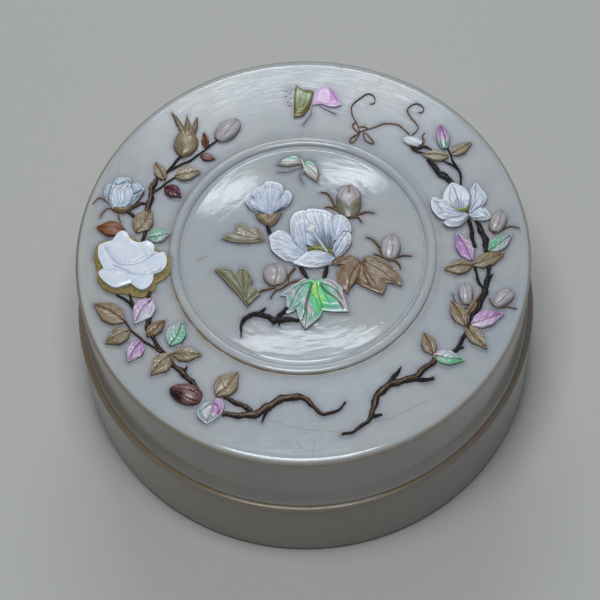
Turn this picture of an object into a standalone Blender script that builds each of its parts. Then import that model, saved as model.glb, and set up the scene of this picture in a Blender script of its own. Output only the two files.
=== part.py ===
"""A round turned trinket box with a lift-off lid, inlaid with carved flowers and leaves.

Metres, +Z up. The foot stands on z = 0 and the Z axis is the turning axis. The lid rests on
the shoulder of the box, around a thin flange, and lifts off. The inlay is drawn in plain
millimetres on a lid of 45 mm radius, and each point of it is then seated on the lid.
"""
import math

import bmesh
import bpy

MM = 0.001

# The box
BODY_HEIGHT = 20.4 * MM
BODY_STEP = 1.35 * MM
BODY_WALL = 3.4 * MM
BODY_TAPER = 0.3 * MM
FLOOR_THICKNESS = 3.6 * MM
CAVITY_ROUND = 3.0 * MM
FOOT_ROUND = 1.1 * MM
FOOT_WIDTH = 3.4 * MM
FOOT_HOLLOW = 0.8 * MM
BEAD_RADIUS = 0.75 * MM
BEAD_PROUD = 0.4 * MM
FLANGE_HEIGHT = 3.8 * MM
FLANGE_WALL = 1.4 * MM
NECK_DEPTH = 1.6 * MM
SOFT_EDGE = 0.3 * MM

# The lid
RIM_RADIUS = 45.0 * MM
LID_HEIGHT = 20.0 * MM
LID_WALL = 2.7 * MM
LID_TAPER = 0.85 * MM
LID_TOP_THICKNESS = 3.0 * MM
LID_INSIDE_ROUND = 2.2 * MM
EDGE_ROUND = 1.2 * MM
FLARE_WIDTH = 0.55 * MM
FLARE_HEIGHT = 1.5 * MM
FIELD_RISE = 1.37 * MM
FIELD_CURVE = 1.6
RING_RADIUS = 25.35 * MM
RING_WIDTH = 2.1 * MM
RING_RISE = 0.6 * MM
GROOVE_WIDTH = 0.7 * MM
GROOVE_DEPTH = 0.35 * MM
MEDALLION_RISE = 0.9 * MM

# The fit of the lid on the box
SEAT_GAP = 0.3 * MM
FLANGE_CLEARANCE = 0.3 * MM

# The inlay
GLUE_GAP = 0.3 * MM
LEAF_HEIGHT = 0.9 * MM
FLOWER_HEIGHT = 1.5 * MM
BUD_HEIGHT = 1.3 * MM
STEM_HEIGHT = 0.7 * MM
UNDERLAY_HEIGHT = 0.5 * MM

# How finely round forms are cut: sides, stations as shares, and angles in degrees
TURNED_SIDES = 54
FLOWER_SIDES = 24
LEAF_STATIONS = 6
DOME_STATIONS = (0, 0.35, 0.65, 0.85, 1)
FIELD_STATIONS = (0, 0.25, 0.5, 0.75, 1)
RING_ANGLES = (180, 135, 90, 45)
FLARE_ANGLES = (0, 40, 75)
SHARP_ANGLE = 35
WELD_DISTANCE = 0.01 * MM

# Sizes that follow from those above
JOINT_HEIGHT = BODY_HEIGHT + SEAT_GAP
RIM_HEIGHT = JOINT_HEIGHT + LID_HEIGHT
LID_FOOT_RADIUS = RIM_RADIUS - LID_TAPER
BODY_RADIUS = LID_FOOT_RADIUS + BODY_STEP
LID_BORE = LID_FOOT_RADIUS - LID_WALL
FLANGE_RADIUS = LID_BORE - FLANGE_CLEARANCE
MOUTH_RADIUS = FLANGE_RADIUS - FLANGE_WALL
CAVITY_RADIUS = BODY_RADIUS - BODY_WALL
RING_FOOT = RING_RADIUS + RING_WIDTH / 2
MEDALLION_RADIUS = RING_RADIUS - RING_WIDTH / 2 - GROOVE_WIDTH
FIELD_EDGE = RIM_RADIUS - EDGE_ROUND

# Colour, roughness and metallic value of each finish
FINISHES = {
    "ivory": ((0.62, 0.62, 0.58), 0.35, 0.0),
    "white_shell": ((0.78, 0.82, 0.90), 0.22, 0.0),
    "blue_shell": ((0.62, 0.78, 0.86), 0.22, 0.0),
    "green_shell": ((0.36, 0.75, 0.50), 0.20, 0.1),
    "pink_shell": ((0.75, 0.48, 0.75), 0.20, 0.1),
    "pale_horn": ((0.62, 0.54, 0.54), 0.30, 0.0),
    "tan_horn": ((0.42, 0.34, 0.24), 0.28, 0.0),
    "olive_horn": ((0.40, 0.40, 0.28), 0.28, 0.0),
    "brown_horn": ((0.36, 0.27, 0.18), 0.28, 0.0),
    "amber": ((0.36, 0.13, 0.04), 0.20, 0.0),
    "dark_red": ((0.13, 0.03, 0.05), 0.22, 0.0),
    "red_stone": ((0.22, 0.04, 0.03), 0.18, 0.0),
    "gold_lacquer": ((0.42, 0.32, 0.08), 0.35, 0.3),
    "dark_wood": ((0.05, 0.035, 0.03), 0.40, 0.0),
}

# Across a carved piece: side share from -1 to 1, then height share
LEAF_SECTION = ((-1, 0), (-1, 0.4), (-0.62, 1.0), (0, 0.5), (0.62, 1.0), (1, 0.4), (1, 0))
BUD_SECTION = ((-1, 0), (-0.92, 0.45), (-0.4, 0.95), (0.4, 0.95), (0.92, 0.45), (1, 0))
STEM_SECTION = ((-1, 0), (-0.75, 0.75), (0.1, 1.0), (0.85, 0.6), (1, 0))

# Out from the centre of a carved piece: share of the reach, then height share
FLOWER_LEVELS = ((0, 0.5), (0.35, 0.6), (0.8, 1.0), (1, 0.55))
CUT_LEAF_LEVELS = ((0, 0.6), (0.6, 1.0), (1, 0.5))
FLAT_LEVELS = ((0, 1.0), (1, 1.0))

# The radii, in the drawing's millimetres, of the medallion, the ring's foot and the field
DRAWN_RADII = (23.6, 26.4, 43.8)

# The carving, in the drawing's millimetres or as shares
TIP_WIDTH = 0.12
WAIST_WIDTH = 0.35
LEAF_BELLY = 0.85
END_LEVEL = 0.55
PETAL_FALL = 0.45
NOTCH_LEVEL = 0.45
BUD_BELLY = 0.8
BUD_STALK_SHARE = 0.06
BUD_TIP_SHARE = 0.98


def clear_scene():
    for old in list(bpy.data.objects):
        bpy.data.objects.remove(old, do_unlink=True)


def finish_named(name):
    """The material of a finish, made when it is first used."""
    if name in bpy.data.materials:
        return bpy.data.materials[name]
    colour, roughness, metallic = FINISHES[name]
    material = bpy.data.materials.new(name)
    material.use_nodes = True
    shader = material.node_tree.nodes["Principled BSDF"]
    shader.inputs["Base Color"].default_value = (*colour, 1.0)
    shader.inputs["Roughness"].default_value = roughness
    shader.inputs["Metallic"].default_value = metallic
    return material


def solid_from(name, bm, finish):
    """An object from a closed bmesh, with its faces pointing out and shaded smooth."""
    bmesh.ops.triangulate(bm, faces=bm.faces[:])
    bmesh.ops.recalc_face_normals(bm, faces=bm.faces[:])
    if bm.calc_volume(signed=True) < 0:
        bmesh.ops.reverse_faces(bm, faces=bm.faces[:])
    mesh = bpy.data.meshes.new(name)
    bm.to_mesh(mesh)
    bm.free()
    mesh.shade_smooth()
    mesh.set_sharp_from_angle(angle=math.radians(SHARP_ANGLE))
    mesh.materials.append(finish_named(finish))
    piece = bpy.data.objects.new(name, mesh)
    bpy.context.scene.collection.objects.link(piece)
    return piece


def arc(centre_radius, centre_height, size, start, end, steps):
    """Points (radius, height) along an arc; angles in degrees, 0 points outwards, 90 up."""
    points = []
    for i in range(steps + 1):
        angle = math.radians(start + (end - start) * i / steps)
        across = centre_radius + size * math.cos(angle)
        points.append((across, centre_height + size * math.sin(angle)))
    return points


def closed_loop(bm, places):
    """A closed loop of edges through the places."""
    ring = [bm.verts.new(place) for place in places]
    return [bm.edges.new(pair) for pair in zip(ring, ring[1:] + ring[:1])]


def skinned(bm, loops):
    """Bridges each loop to the next and closes both ends. Returns the two end faces."""
    for here, there in zip(loops, loops[1:]):
        bmesh.ops.bridge_loops(bm, edges=here + there)
    return bmesh.ops.holes_fill(bm, edges=bm.edges[:])["faces"]


def turned(name, profile, finish):
    """A body turned about the Z axis from a closed profile that starts and ends on it."""
    bm = bmesh.new()
    points = [bm.verts.new((radius, 0, height)) for radius, height in profile]
    edges = [bm.edges.new(pair) for pair in zip(points, points[1:])]
    bmesh.ops.spin(bm, geom=points + edges, cent=(0, 0, 0), axis=(0, 0, 1), angle=2 * math.pi,
                   steps=TURNED_SIDES, use_merge=True)
    bmesh.ops.remove_doubles(bm, verts=bm.verts[:], dist=WELD_DISTANCE)
    return solid_from(name, bm, finish)


def top_height(radius):
    """Height of the lid's top surface, on the domed medallion or on the sloping field."""
    if radius <= MEDALLION_RADIUS:
        share = radius / MEDALLION_RADIUS
        return RIM_HEIGHT + FIELD_RISE + MEDALLION_RISE * (1 - share * share)
    share = (radius - RING_FOOT) / (FIELD_EDGE - RING_FOOT)
    share = min(max(share, 0.0), 1.0)
    return RIM_HEIGHT + FIELD_RISE * (1 - share ** FIELD_CURVE)


def lid_profile():
    """Out over the top, down the wall to the flare, and back through the hollow inside."""
    points = []
    for share in DOME_STATIONS:
        radius = MEDALLION_RADIUS * share
        points.append((radius, top_height(radius)))
    foot_level = RIM_HEIGHT + FIELD_RISE
    points.append((MEDALLION_RADIUS + GROOVE_WIDTH / 2, foot_level - GROOVE_DEPTH))
    for angle in RING_ANGLES:
        turn = math.radians(angle)
        across = RING_RADIUS + RING_WIDTH / 2 * math.cos(turn)
        points.append((across, foot_level + RING_RISE * math.sin(turn)))
    for share in FIELD_STATIONS:
        radius = RING_FOOT + (FIELD_EDGE - RING_FOOT) * share
        points.append((radius, top_height(radius)))
    points += arc(FIELD_EDGE, RIM_HEIGHT - EDGE_ROUND, EDGE_ROUND, 60, 0, 2)
    for turn in FLARE_ANGLES:
        across = FLARE_WIDTH * (1 - math.cos(math.radians(turn)))
        down = FLARE_HEIGHT * (1 - math.sin(math.radians(turn)))
        points.append((LID_FOOT_RADIUS + across, JOINT_HEIGHT + SOFT_EDGE + down))
    points.append((LID_FOOT_RADIUS + FLARE_WIDTH - SOFT_EDGE, JOINT_HEIGHT))
    points.append((LID_BORE, JOINT_HEIGHT))
    ceiling = RIM_HEIGHT - LID_TOP_THICKNESS
    corner = LID_BORE - LID_INSIDE_ROUND
    points += arc(corner, ceiling - LID_INSIDE_ROUND, LID_INSIDE_ROUND, 0, 90, 2)
    points.append((0, ceiling))
    return points


def box_profile():
    """From the floor inside, up and over the flange and the bead, down and under the foot."""
    points = [(0, FLOOR_THICKNESS)]
    corner = CAVITY_RADIUS - CAVITY_ROUND
    points += arc(corner, FLOOR_THICKNESS + CAVITY_ROUND, CAVITY_ROUND, -90, 0, 3)
    neck = BODY_HEIGHT - NECK_DEPTH
    points.append((CAVITY_RADIUS, neck - abs(CAVITY_RADIUS - MOUTH_RADIUS)))
    points.append((MOUTH_RADIUS, neck))
    flange_top = BODY_HEIGHT + FLANGE_HEIGHT
    points.append((MOUTH_RADIUS, flange_top))
    points.append((FLANGE_RADIUS - SOFT_EDGE, flange_top))
    points.append((FLANGE_RADIUS, flange_top - SOFT_EDGE))
    points.append((FLANGE_RADIUS, BODY_HEIGHT))
    bead_centre = BODY_RADIUS + BEAD_PROUD - BEAD_RADIUS
    points += arc(bead_centre, BODY_HEIGHT - BEAD_RADIUS, BEAD_RADIUS, 90, -60, 5)
    points.append((BODY_RADIUS, BODY_HEIGHT - 2 * BEAD_RADIUS - SOFT_EDGE))
    foot_radius = BODY_RADIUS - BODY_TAPER
    points += arc(foot_radius - FOOT_ROUND, FOOT_ROUND, FOOT_ROUND, 0, -90, 3)
    points.append((foot_radius - FOOT_ROUND - FOOT_WIDTH, 0))
    points.append((foot_radius - FOOT_ROUND - FOOT_WIDTH - FOOT_HOLLOW, FOOT_HOLLOW))
    points.append((0, FOOT_HOLLOW))
    return points


def seat(x, y, lift):
    """A drawn point, moved to its place on the lid, so far above the lid's top surface."""
    drawn = math.hypot(x, y)
    bearing = math.atan2(y, x)
    drawn_medallion, drawn_ring, drawn_field = DRAWN_RADII
    if drawn <= drawn_medallion:
        radius = drawn * MEDALLION_RADIUS / drawn_medallion
    else:
        share = (drawn - drawn_ring) / (drawn_field - drawn_ring)
        radius = RING_FOOT + (FIELD_EDGE - RING_FOOT) * share
    height = top_height(radius) + GLUE_GAP + lift
    return radius * math.cos(bearing), radius * math.sin(bearing), height


def strip(name, finish, route, widths, section, height):
    """A carved piece that runs along a drawn route, with a half width at each station."""
    bm = bmesh.new()
    loops = []
    last = len(route) - 1
    for i, (x, y) in enumerate(route):
        before = route[max(i - 1, 0)]
        after = route[min(i + 1, last)]
        along = math.hypot(after[0] - before[0], after[1] - before[1])
        across_x = (after[1] - before[1]) / along
        across_y = -(after[0] - before[0]) / along
        swell = height * (END_LEVEL + (1 - END_LEVEL) * math.sin(math.pi * i / last))
        places = []
        for side, level in section:
            shift = side * widths[i]
            places.append(seat(x + across_x * shift, y + across_y * shift, level * swell))
        loops.append(closed_loop(bm, places))
    skinned(bm, loops)
    return solid_from(name, bm, finish)


def lens(width, share):
    """Half width of a leaf at a share of its length from the stalk."""
    return TIP_WIDTH + (width / 2 - TIP_WIDTH) * math.sin(math.pi * share ** LEAF_BELLY)


def leaf(name, finish, base, tip, width, bow=0.0):
    """One leaf with raised halves and a sunk midrib, from its stalk end to its tip."""
    route = []
    widths = []
    length = math.hypot(tip[0] - base[0], tip[1] - base[1])
    for i in range(LEAF_STATIONS):
        share = i / (LEAF_STATIONS - 1)
        curve = 4 * bow * share * (1 - share)
        x = base[0] + (tip[0] - base[0]) * share - (tip[1] - base[1]) / length * curve
        y = base[1] + (tip[1] - base[1]) * share + (tip[0] - base[0]) / length * curve
        route.append((x, y))
        widths.append(lens(width, share))
    return strip(name, finish, route, widths, LEAF_SECTION, LEAF_HEIGHT)


def leaf_pair(name, finish, tip, waist, other_tip, width, other_width):
    """Two leaves of one piece that share a narrow waist, where their stalks meet."""
    route = []
    widths = []
    half = LEAF_STATIONS - 1
    for i in range(half):
        share = i / half
        route.append((tip[0] + (waist[0] - tip[0]) * share, tip[1] + (waist[1] - tip[1]) * share))
        widths.append(max(lens(width, 1 - share), WAIST_WIDTH * share))
    for i in range(half + 1):
        share = i / half
        x = waist[0] + (other_tip[0] - waist[0]) * share
        y = waist[1] + (other_tip[1] - waist[1]) * share
        route.append((x, y))
        widths.append(max(lens(other_width, share), WAIST_WIDTH * (1 - share)))
    return strip(name, finish, route, widths, LEAF_SECTION, LEAF_HEIGHT)


def bud(name, finish, base, tip, width):
    """A plump bud, widest below its middle."""
    route = []
    widths = []
    for i in range(LEAF_STATIONS):
        share = i / (LEAF_STATIONS - 1)
        route.append((base[0] + (tip[0] - base[0]) * share, base[1] + (tip[1] - base[1]) * share))
        inset = BUD_STALK_SHARE + (BUD_TIP_SHARE - BUD_STALK_SHARE) * share
        widths.append(width / 2 * math.sqrt(math.sin(math.pi * inset ** BUD_BELLY)))
    return strip(name, finish, route, widths, BUD_SECTION, BUD_HEIGHT)


def stem(name, route, width, end_width):
    """A branch with a rounded back that tapers from one end to the other."""
    last = len(route) - 1
    widths = [(width + (end_width - width) * i / last) / 2 for i in range(last + 1)]
    return strip(name, "dark_wood", route, widths, STEM_SECTION, STEM_HEIGHT)


def dished(name, finish, centre, outline, levels, height, base=0.0):
    """A piece spread round a centre. The levels are pairs: share of reach, height share."""
    bm = bmesh.new()
    loops = []
    for share, level in levels[1:] + ((1, 0),):
        places = []
        for x, y, rise in outline:
            place_x = centre[0] + (x - centre[0]) * share
            place_y = centre[1] + (y - centre[1]) * share
            places.append(seat(place_x, place_y, base + level * rise * height))
        loops.append(closed_loop(bm, places))
    ends = bmesh.ops.poke(bm, faces=skinned(bm, loops))["verts"]
    under, heart = sorted(ends, key=lambda end: end.co.z)
    under.co = seat(*centre, base)
    heart.co = seat(*centre, base + levels[0][1] * height)
    return solid_from(name, bm, finish)


def flower(name, finish, centre, petals, base=0.0):
    """A flower of overlapping petals, each with a bearing in degrees, a reach and a spread."""
    outline = []
    for i in range(FLOWER_SIDES):
        bearing = 360 * i / FLOWER_SIDES
        reach = 0.0
        fullness = 0.0
        for petal_bearing, petal_reach, spread in petals:
            away = abs((bearing - petal_bearing + 180) % 360 - 180) / spread
            share = max(1 - PETAL_FALL * away * away, 0.0)
            if petal_reach * share > reach:
                reach = petal_reach * share
                fullness = share
        turn = math.radians(bearing)
        x = centre[0] + reach * math.cos(turn)
        y = centre[1] + reach * math.sin(turn)
        outline.append((x, y, NOTCH_LEVEL + (1 - NOTCH_LEVEL) * fullness))
    return dished(name, finish, centre, outline, FLOWER_LEVELS, FLOWER_HEIGHT, base)


def cut_leaf(name, finish, heart, outline):
    """A leaf with lobes, whose veins spread from its heart. Points: x, y, height share."""
    return dished(name, finish, heart, outline, CUT_LEAF_LEVELS, LEAF_HEIGHT)


def medallion_inlay():
    flower("hibiscus", "white_shell", (2.4, 2.6), (
        (178, 8.6, 34), (224, 6.4, 34), (125, 6.8, 36), (82, 6.9, 36), (36, 7.5, 34),
        (-6, 7.0, 38), (-60, 5.6, 40), (262, 6.2, 40)))
    flower("fan_blossom", "white_shell", (-6.4, 11.6), (
        (182, 4.5, 30), (140, 4.3, 30), (92, 4.2, 36), (34, 4.6, 32), (0, 4.7, 34), (265, 2.9, 60)))
    cut_leaf("fan_calyx", "tan_horn", (-6.4, 7.3), (
        (-8.9, 8.9, 0.9), (-8.5, 7.3, 1), (-6.5, 6.1, 1), (-4.3, 7.3, 1), (-3.7, 8.9, 0.9),
        (-6.5, 7.9, 0.8)))
    cut_leaf("half_leaf", "olive_horn", (-11.3, 3.9), (
        (-15.6, 3.9, 0.7), (-14.5, 4.8, 1), (-12.9, 5.2, 0.7), (-12.3, 6.8, 1), (-9.9, 5.2, 0.7),
        (-8.6, 5.7, 1), (-7.4, 2.8, 0.8), (-10.8, 2.6, 0.8), (-13.6, 3.0, 0.8)))
    cut_leaf("folded_leaf", "olive_horn", (-12.3, -6.3), (
        (-17.4, -2.9, 0.8), (-15.4, -2.8, 1), (-13.3, -4.3, 0.6), (-11.6, -2.9, 1),
        (-10.1, -5.9, 1), (-10.4, -6.9, 0.7), (-8.8, -8.8, 1), (-11.4, -11.3, 0.8),
        (-12.7, -9.3, 0.8), (-15.7, -5.3, 0.8)))
    cut_leaf("horn_maple", "brown_horn", (11.8, -3.9), (
        (11.4, -2.8, 0.7), (9.4, -3.0, 1), (7.3, -4.9, 0.8), (6.8, -7.6, 1), (8.3, -9.8, 1),
        (10.2, -7.6, 0.6), (12.8, -9.0, 0.8), (15.1, -10.3, 1), (16.3, -7.8, 0.6),
        (18.9, -8.5, 1), (18.4, -4.7, 1), (14.6, -3.2, 0.8)))
    cut_leaf("shell_maple", "green_shell", (2.2, -8.2), (
        (2.1, -6.9, 0.7), (0.0, -6.3, 0.8), (-2.3, -7.6, 1), (-4.8, -9.5, 1), (-3.7, -9.9, 0.7),
        (-3.9, -13.5, 1), (-1.8, -12.7, 0.6), (-0.3, -17.0, 1), (3.2, -13.4, 0.6),
        (5.5, -13.7, 0.8), (8.2, -13.7, 1), (7.4, -10.2, 0.7), (7.0, -8.7, 1), (4.2, -6.5, 0.9)))
    cut_leaf("moth", "green_shell", (0.9, 19.1), (
        (-4.1, 20.0, 0.8), (-2.2, 21.2, 1), (0.1, 21.9, 1), (0.9, 20.3, 0.6), (2.4, 20.4, 0.9),
        (3.9, 19.1, 1), (4.4, 17.4, 1), (3.8, 15.6, 0.8), (1.7, 17.0, 1), (0.6, 18.3, 0.6)))
    bud("round_bud", "pale_horn", (9.6, 8.3), (9.8, 14.4), 4.9)
    bud("right_bud", "pale_horn", (17.1, -2.2), (18.1, 2.8), 3.9)
    bud("left_bud", "pale_horn", (-5.3, -7.2), (-6.2, -2.7), 4.4)
    stem("centre_branch", (
        (-13.0, -17.6), (-12.6, -15.4), (-12.2, -14.0), (-11.0, -13.2), (-9.6, -12.9),
        (-8.3, -13.3), (-7.2, -14.2), (-5.4, -14.7), (-2.7, -15.0)), 0.8, 0.7)


def left_spray():
    cut_leaf("crowned_fruit", "tan_horn", (-22.1, 27.0), (
        (-22.8, 23.2, 0.9), (-24.4, 25.7, 1), (-23.2, 28.6, 0.9), (-24.6, 33.6, 0.7),
        (-22.8, 29.9, 0.8), (-21.8, 32.3, 0.8), (-21.3, 29.9, 0.8), (-19.9, 31.8, 0.7),
        (-20.5, 28.8, 0.9), (-19.8, 26.4, 1), (-21.0, 24.0, 1)))
    bud("upper_left_bud", "pale_horn", (-15.9, 26.6), (-11.5, 30.8), 3.9)
    leaf("upper_left_tan_leaf", "tan_horn", (-24.6, 18.7), (-19.5, 19.3), 3.1, 0.3)
    leaf("small_tan_leaf", "tan_horn", (-27.6, 18.9), (-27.9, 22.2), 2.8)
    leaf("dark_red_leaf", "dark_red", (-26.8, 16.4), (-23.5, 14.0), 2.6, 0.2)
    stem("upper_left_stem", ((-28.5, 17.2), (-29.3, 15.2), (-29.8, 13.6), (-30.0, 12.7)), 0.9, 1.1)
    flower("peony", "blue_shell", (-35.0, 15.4), (
        (5, 4.0, 40), (40, 3.6, 36), (90, 3.8, 40), (138, 3.6, 38), (185, 3.7, 40),
        (262, 3.7, 60), (320, 3.2, 44)))
    leaf("amber_leaf", "amber", (-36.0, 8.2), (-40.5, 8.7), 3.0)
    leaf("left_tan_leaf_1", "tan_horn", (-32.7, 6.7), (-29.5, 11.5), 4.0)
    leaf("left_green_leaf_1", "green_shell", (-30.4, 5.2), (-26.1, 5.9), 2.9)
    underlay = []
    for bearing, reach in ((0, 7.1), (32, 6.3), (62, 6.2), (92, 6.9), (118, 7.3), (140, 8.8),
                           (165, 7.6), (195, 7.2), (222, 7.4), (255, 6.8), (285, 7.0), (320, 6.1),
                           (343, 6.9)):
        turn = math.radians(bearing)
        underlay.append((-33.7 + reach * math.cos(turn), -0.8 + reach * math.sin(turn), 1))
    dished("gold_underlay", "gold_lacquer", (-33.7, -0.8), underlay, FLAT_LEVELS, UNDERLAY_HEIGHT)
    flower("large_white_flower", "white_shell", (-33.8, -0.6), (
        (101, 7.0, 32), (55, 5.6, 32), (2, 6.9, 34), (292, 6.2, 34), (240, 5.8, 36),
        (197, 6.6, 34), (145, 7.6, 28)), UNDERLAY_HEIGHT + GLUE_GAP)
    leaf("left_tan_leaf_2", "tan_horn", (-35.5, -12.7), (-41.4, -8.8), 3.9)
    leaf("left_pink_leaf_1", "pink_shell", (-29.7, -8.6), (-33.4, -13.5), 3.8)
    leaf("left_tan_leaf_3", "tan_horn", (-34.5, -15.2), (-39.3, -17.2), 3.3)
    leaf("brown_leaf", "brown_horn", (-31.4, -16.2), (-27.6, -13.2), 2.6)
    leaf("left_green_leaf_2", "green_shell", (-26.6, -18.8), (-24.2, -13.9), 3.5)
    leaf("left_pink_leaf_2", "pink_shell", (-31.9, -17.4), (-34.5, -21.3), 3.2)
    leaf_pair("left_tan_leaf_pair", "tan_horn", (-30.8, -24.4), (-26.4, -20.5), (-20.8, -21.1),
              3.6, 3.0)
    stem("lower_left_stem", ((-25.8, -22.8), (-24.4, -24.2), (-22.6, -25.8), (-20.9, -27.6)),
         0.9, 0.8)
    bud("red_bud", "red_stone", (-21.2, -30.2), (-27.2, -27.9), 4.2)
    leaf("left_tan_leaf_4", "tan_horn", (-17.8, -29.8), (-13.8, -25.4), 3.9)
    cut_leaf("heart_leaf", "pink_shell", (-19.6, -32.8), (
        (-18.8, -31.0, 0.7), (-20.9, -31.5, 1), (-22.1, -33.0, 1), (-20.3, -35.6, 0.7),
        (-17.6, -34.0, 1), (-17.1, -31.9, 1)))
    stem("lower_left_branch", (
        (-16.2, -34.2), (-13.1, -34.4), (-11.0, -34.0), (-9.2, -33.5), (-7.0, -31.9), (-4.9, -31.2),
        (-2.0, -31.5), (-0.3, -33.1), (0.8, -34.4), (2.1, -35.1), (3.7, -34.9), (5.0, -34.0),
        (6.8, -32.8)), 1.0, 0.5)


def right_spray():
    bud("white_bud", "white_shell", (25.0, 23.4), (21.1, 25.2), 1.9)
    leaf("right_tan_leaf_1", "tan_horn", (30.0, 20.2), (24.8, 20.7), 2.4)
    bud("rainbow_bud", "pink_shell", (29.5, 22.4), (28.7, 27.2), 2.8)
    leaf("right_tan_leaf_2", "tan_horn", (30.8, 20.9), (34.5, 23.1), 2.0)
    stem("upper_right_stem", ((26.8, 18.5), (28.2, 17.0), (29.3, 15.9)), 1.1, 0.9)
    flower("magnolia", "white_shell", (31.9, 8.2), (
        (106, 6.4, 28), (62, 6.7, 26), (160, 6.3, 30), (228, 4.8, 30), (-22, 5.8, 26),
        (280, 1.8, 60)))
    leaf("right_pink_leaf_1", "pink_shell", (33.0, -3.3), (30.5, 2.4), 2.9)
    stem("right_upper_stem", ((34.9, 4.4), (35.8, 2.1), (36.1, -0.4)), 0.9, 0.9)
    bud("right_bud_1", "pale_horn", (38.0, 3.1), (40.0, 7.3), 3.0)
    leaf("right_green_leaf_1", "green_shell", (37.3, -0.5), (41.4, 2.1), 2.4)
    leaf_pair("right_tan_leaf_pair_1", "tan_horn", (27.6, -5.2), (33.1, -4.6), (39.5, -2.1),
              3.0, 2.8)
    stem("right_middle_stem", ((36.4, -5.3), (35.9, -8.1), (35.2, -11.0), (33.6, -13.4),
                               (32.6, -15.1)), 0.8, 0.9)
    bud("right_bud_2", "pale_horn", (31.4, -13.0), (31.5, -8.5), 2.4)
    leaf_pair("right_tan_leaf_pair_2", "tan_horn", (28.7, -12.6), (31.3, -17.9), (34.8, -22.8),
              2.9, 2.9)
    bud("right_bud_3", "pale_horn", (37.2, -13.2), (40.5, -10.3), 2.5)
    leaf("right_pink_leaf_2", "pink_shell", (32.5, -17.2), (38.5, -15.3), 2.6)
    leaf("right_tan_leaf_3", "tan_horn", (24.0, -22.9), (22.8, -19.2), 2.6)
    leaf("right_green_leaf_2", "green_shell", (24.9, -24.1), (30.1, -25.1), 2.6)
    stem("lower_right_branch", (
        (5.9, -39.3), (7.8, -38.9), (9.5, -37.3), (11.4, -35.8), (12.1, -33.8), (13.1, -31.6),
        (15.3, -29.4), (17.4, -28.8), (19.5, -28.6), (21.1, -27.4), (22.8, -25.8)), 0.4, 1.0)


def insect():
    cut_leaf("insect_body", "olive_horn", (1.6, 34.2), (
        (0.5, 38.0, 0.8), (-0.2, 34.0, 1), (-0.3, 30.8, 0.7), (1.4, 31.1, 0.8), (3.0, 33.3, 1),
        (3.6, 36.5, 1), (1.8, 36.8, 0.8)))
    cut_leaf("insect_wing", "pink_shell", (6.3, 34.7), (
        (4.1, 33.7, 0.8), (4.9, 36.7, 1), (6.6, 37.6, 1), (7.8, 36.3, 1), (9.2, 33.2, 0.8),
        (6.6, 33.0, 0.9)))


def main():
    clear_scene()
    turned("box", box_profile(), "ivory")
    turned("lid", lid_profile(), "ivory")
    medallion_inlay()
    left_spray()
    right_spray()
    insect()


main()
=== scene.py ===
"""The look of a round turned trinket box with a lift-off lid, inlaid with carved flowers."""
import math

import bpy
import numpy as np
from mathutils import Matrix, Vector
from mathutils.kdtree import KDTree


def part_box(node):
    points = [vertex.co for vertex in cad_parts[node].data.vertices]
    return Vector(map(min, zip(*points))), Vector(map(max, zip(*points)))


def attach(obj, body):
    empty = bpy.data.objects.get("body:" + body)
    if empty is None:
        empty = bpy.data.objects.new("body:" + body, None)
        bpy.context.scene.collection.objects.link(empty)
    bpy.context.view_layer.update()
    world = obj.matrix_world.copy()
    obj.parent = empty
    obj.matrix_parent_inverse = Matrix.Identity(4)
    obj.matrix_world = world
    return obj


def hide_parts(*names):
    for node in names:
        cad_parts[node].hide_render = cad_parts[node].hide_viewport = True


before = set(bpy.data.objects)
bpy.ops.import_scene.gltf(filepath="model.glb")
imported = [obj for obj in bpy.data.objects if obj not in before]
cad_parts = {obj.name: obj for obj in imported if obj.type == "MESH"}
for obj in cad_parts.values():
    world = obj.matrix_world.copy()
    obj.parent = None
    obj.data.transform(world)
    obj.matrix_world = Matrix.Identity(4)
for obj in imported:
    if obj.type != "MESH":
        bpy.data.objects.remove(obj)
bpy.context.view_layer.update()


# The box
# One block of ivory-coloured stuff, turned hollow on the lathe with a bead under the joint, a
# thin flange that the lid slips over, and a slightly hollowed foot. Waxed and polished by hand.

MM = 0.001
box_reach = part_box("box")[1].y / MM
body_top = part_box("lid")[0].z / MM - 0.3
BEAD_RADIUS = 0.75
BEAD_PROUD = 0.4
body_radius = box_reach - BEAD_PROUD
FOOT_ROUND = 1.1
FLANGE_RADIUS = 41.15
MOUTH_RADIUS = 39.75
FLANGE_HEIGHT = 3.8
CAVITY_RADIUS = 42.1
FLOOR_LEVEL = 3.6
FOOT_HOLLOW = 0.8
CAVITY_ROUND = 3
MOUTH_ROUND = 0.25
FLANGE_ROUND = 0.3
FLAT_RADIUS = 20
GROOVE_DEPTH = 0.16
groove_middle = body_top - 1.62
wall_top = body_top - 1.9
WALL_TAPER = 0.3
foot_radius = body_radius - WALL_TAPER
WALL_STEPS = 24
BOX_STEPS = 288
TURNED_SMOOTHING = math.radians(32)
TURNED_WELD = 0.004 * MM


def turned_arc(centre_radius, centre_height, size, start, end, steps):
    """Places (radius, height) along an arc; 0 degrees points outwards and 90 points up."""
    turns = [math.radians(start + (end - start) * i / steps) for i in range(steps + 1)]
    return [(centre_radius + size * math.cos(a), centre_height + size * math.sin(a))
            for a in turns]


def edit_all():
    """Opens the object in hand for editing, with all of its mesh picked."""
    bpy.ops.object.mode_set(mode="EDIT")
    bpy.ops.mesh.select_all(action="SELECT")


def weld_and_smooth(gap, angle):
    """Welds the mesh that is being edited, faces it outwards and smooths its soft edges."""
    bpy.ops.mesh.select_all(action="SELECT")
    bpy.ops.mesh.remove_doubles(threshold=gap)
    bpy.ops.mesh.normals_make_consistent(inside=False)
    bpy.ops.object.mode_set(mode="OBJECT")
    bpy.ops.object.shade_smooth_by_angle(angle=angle)


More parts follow.
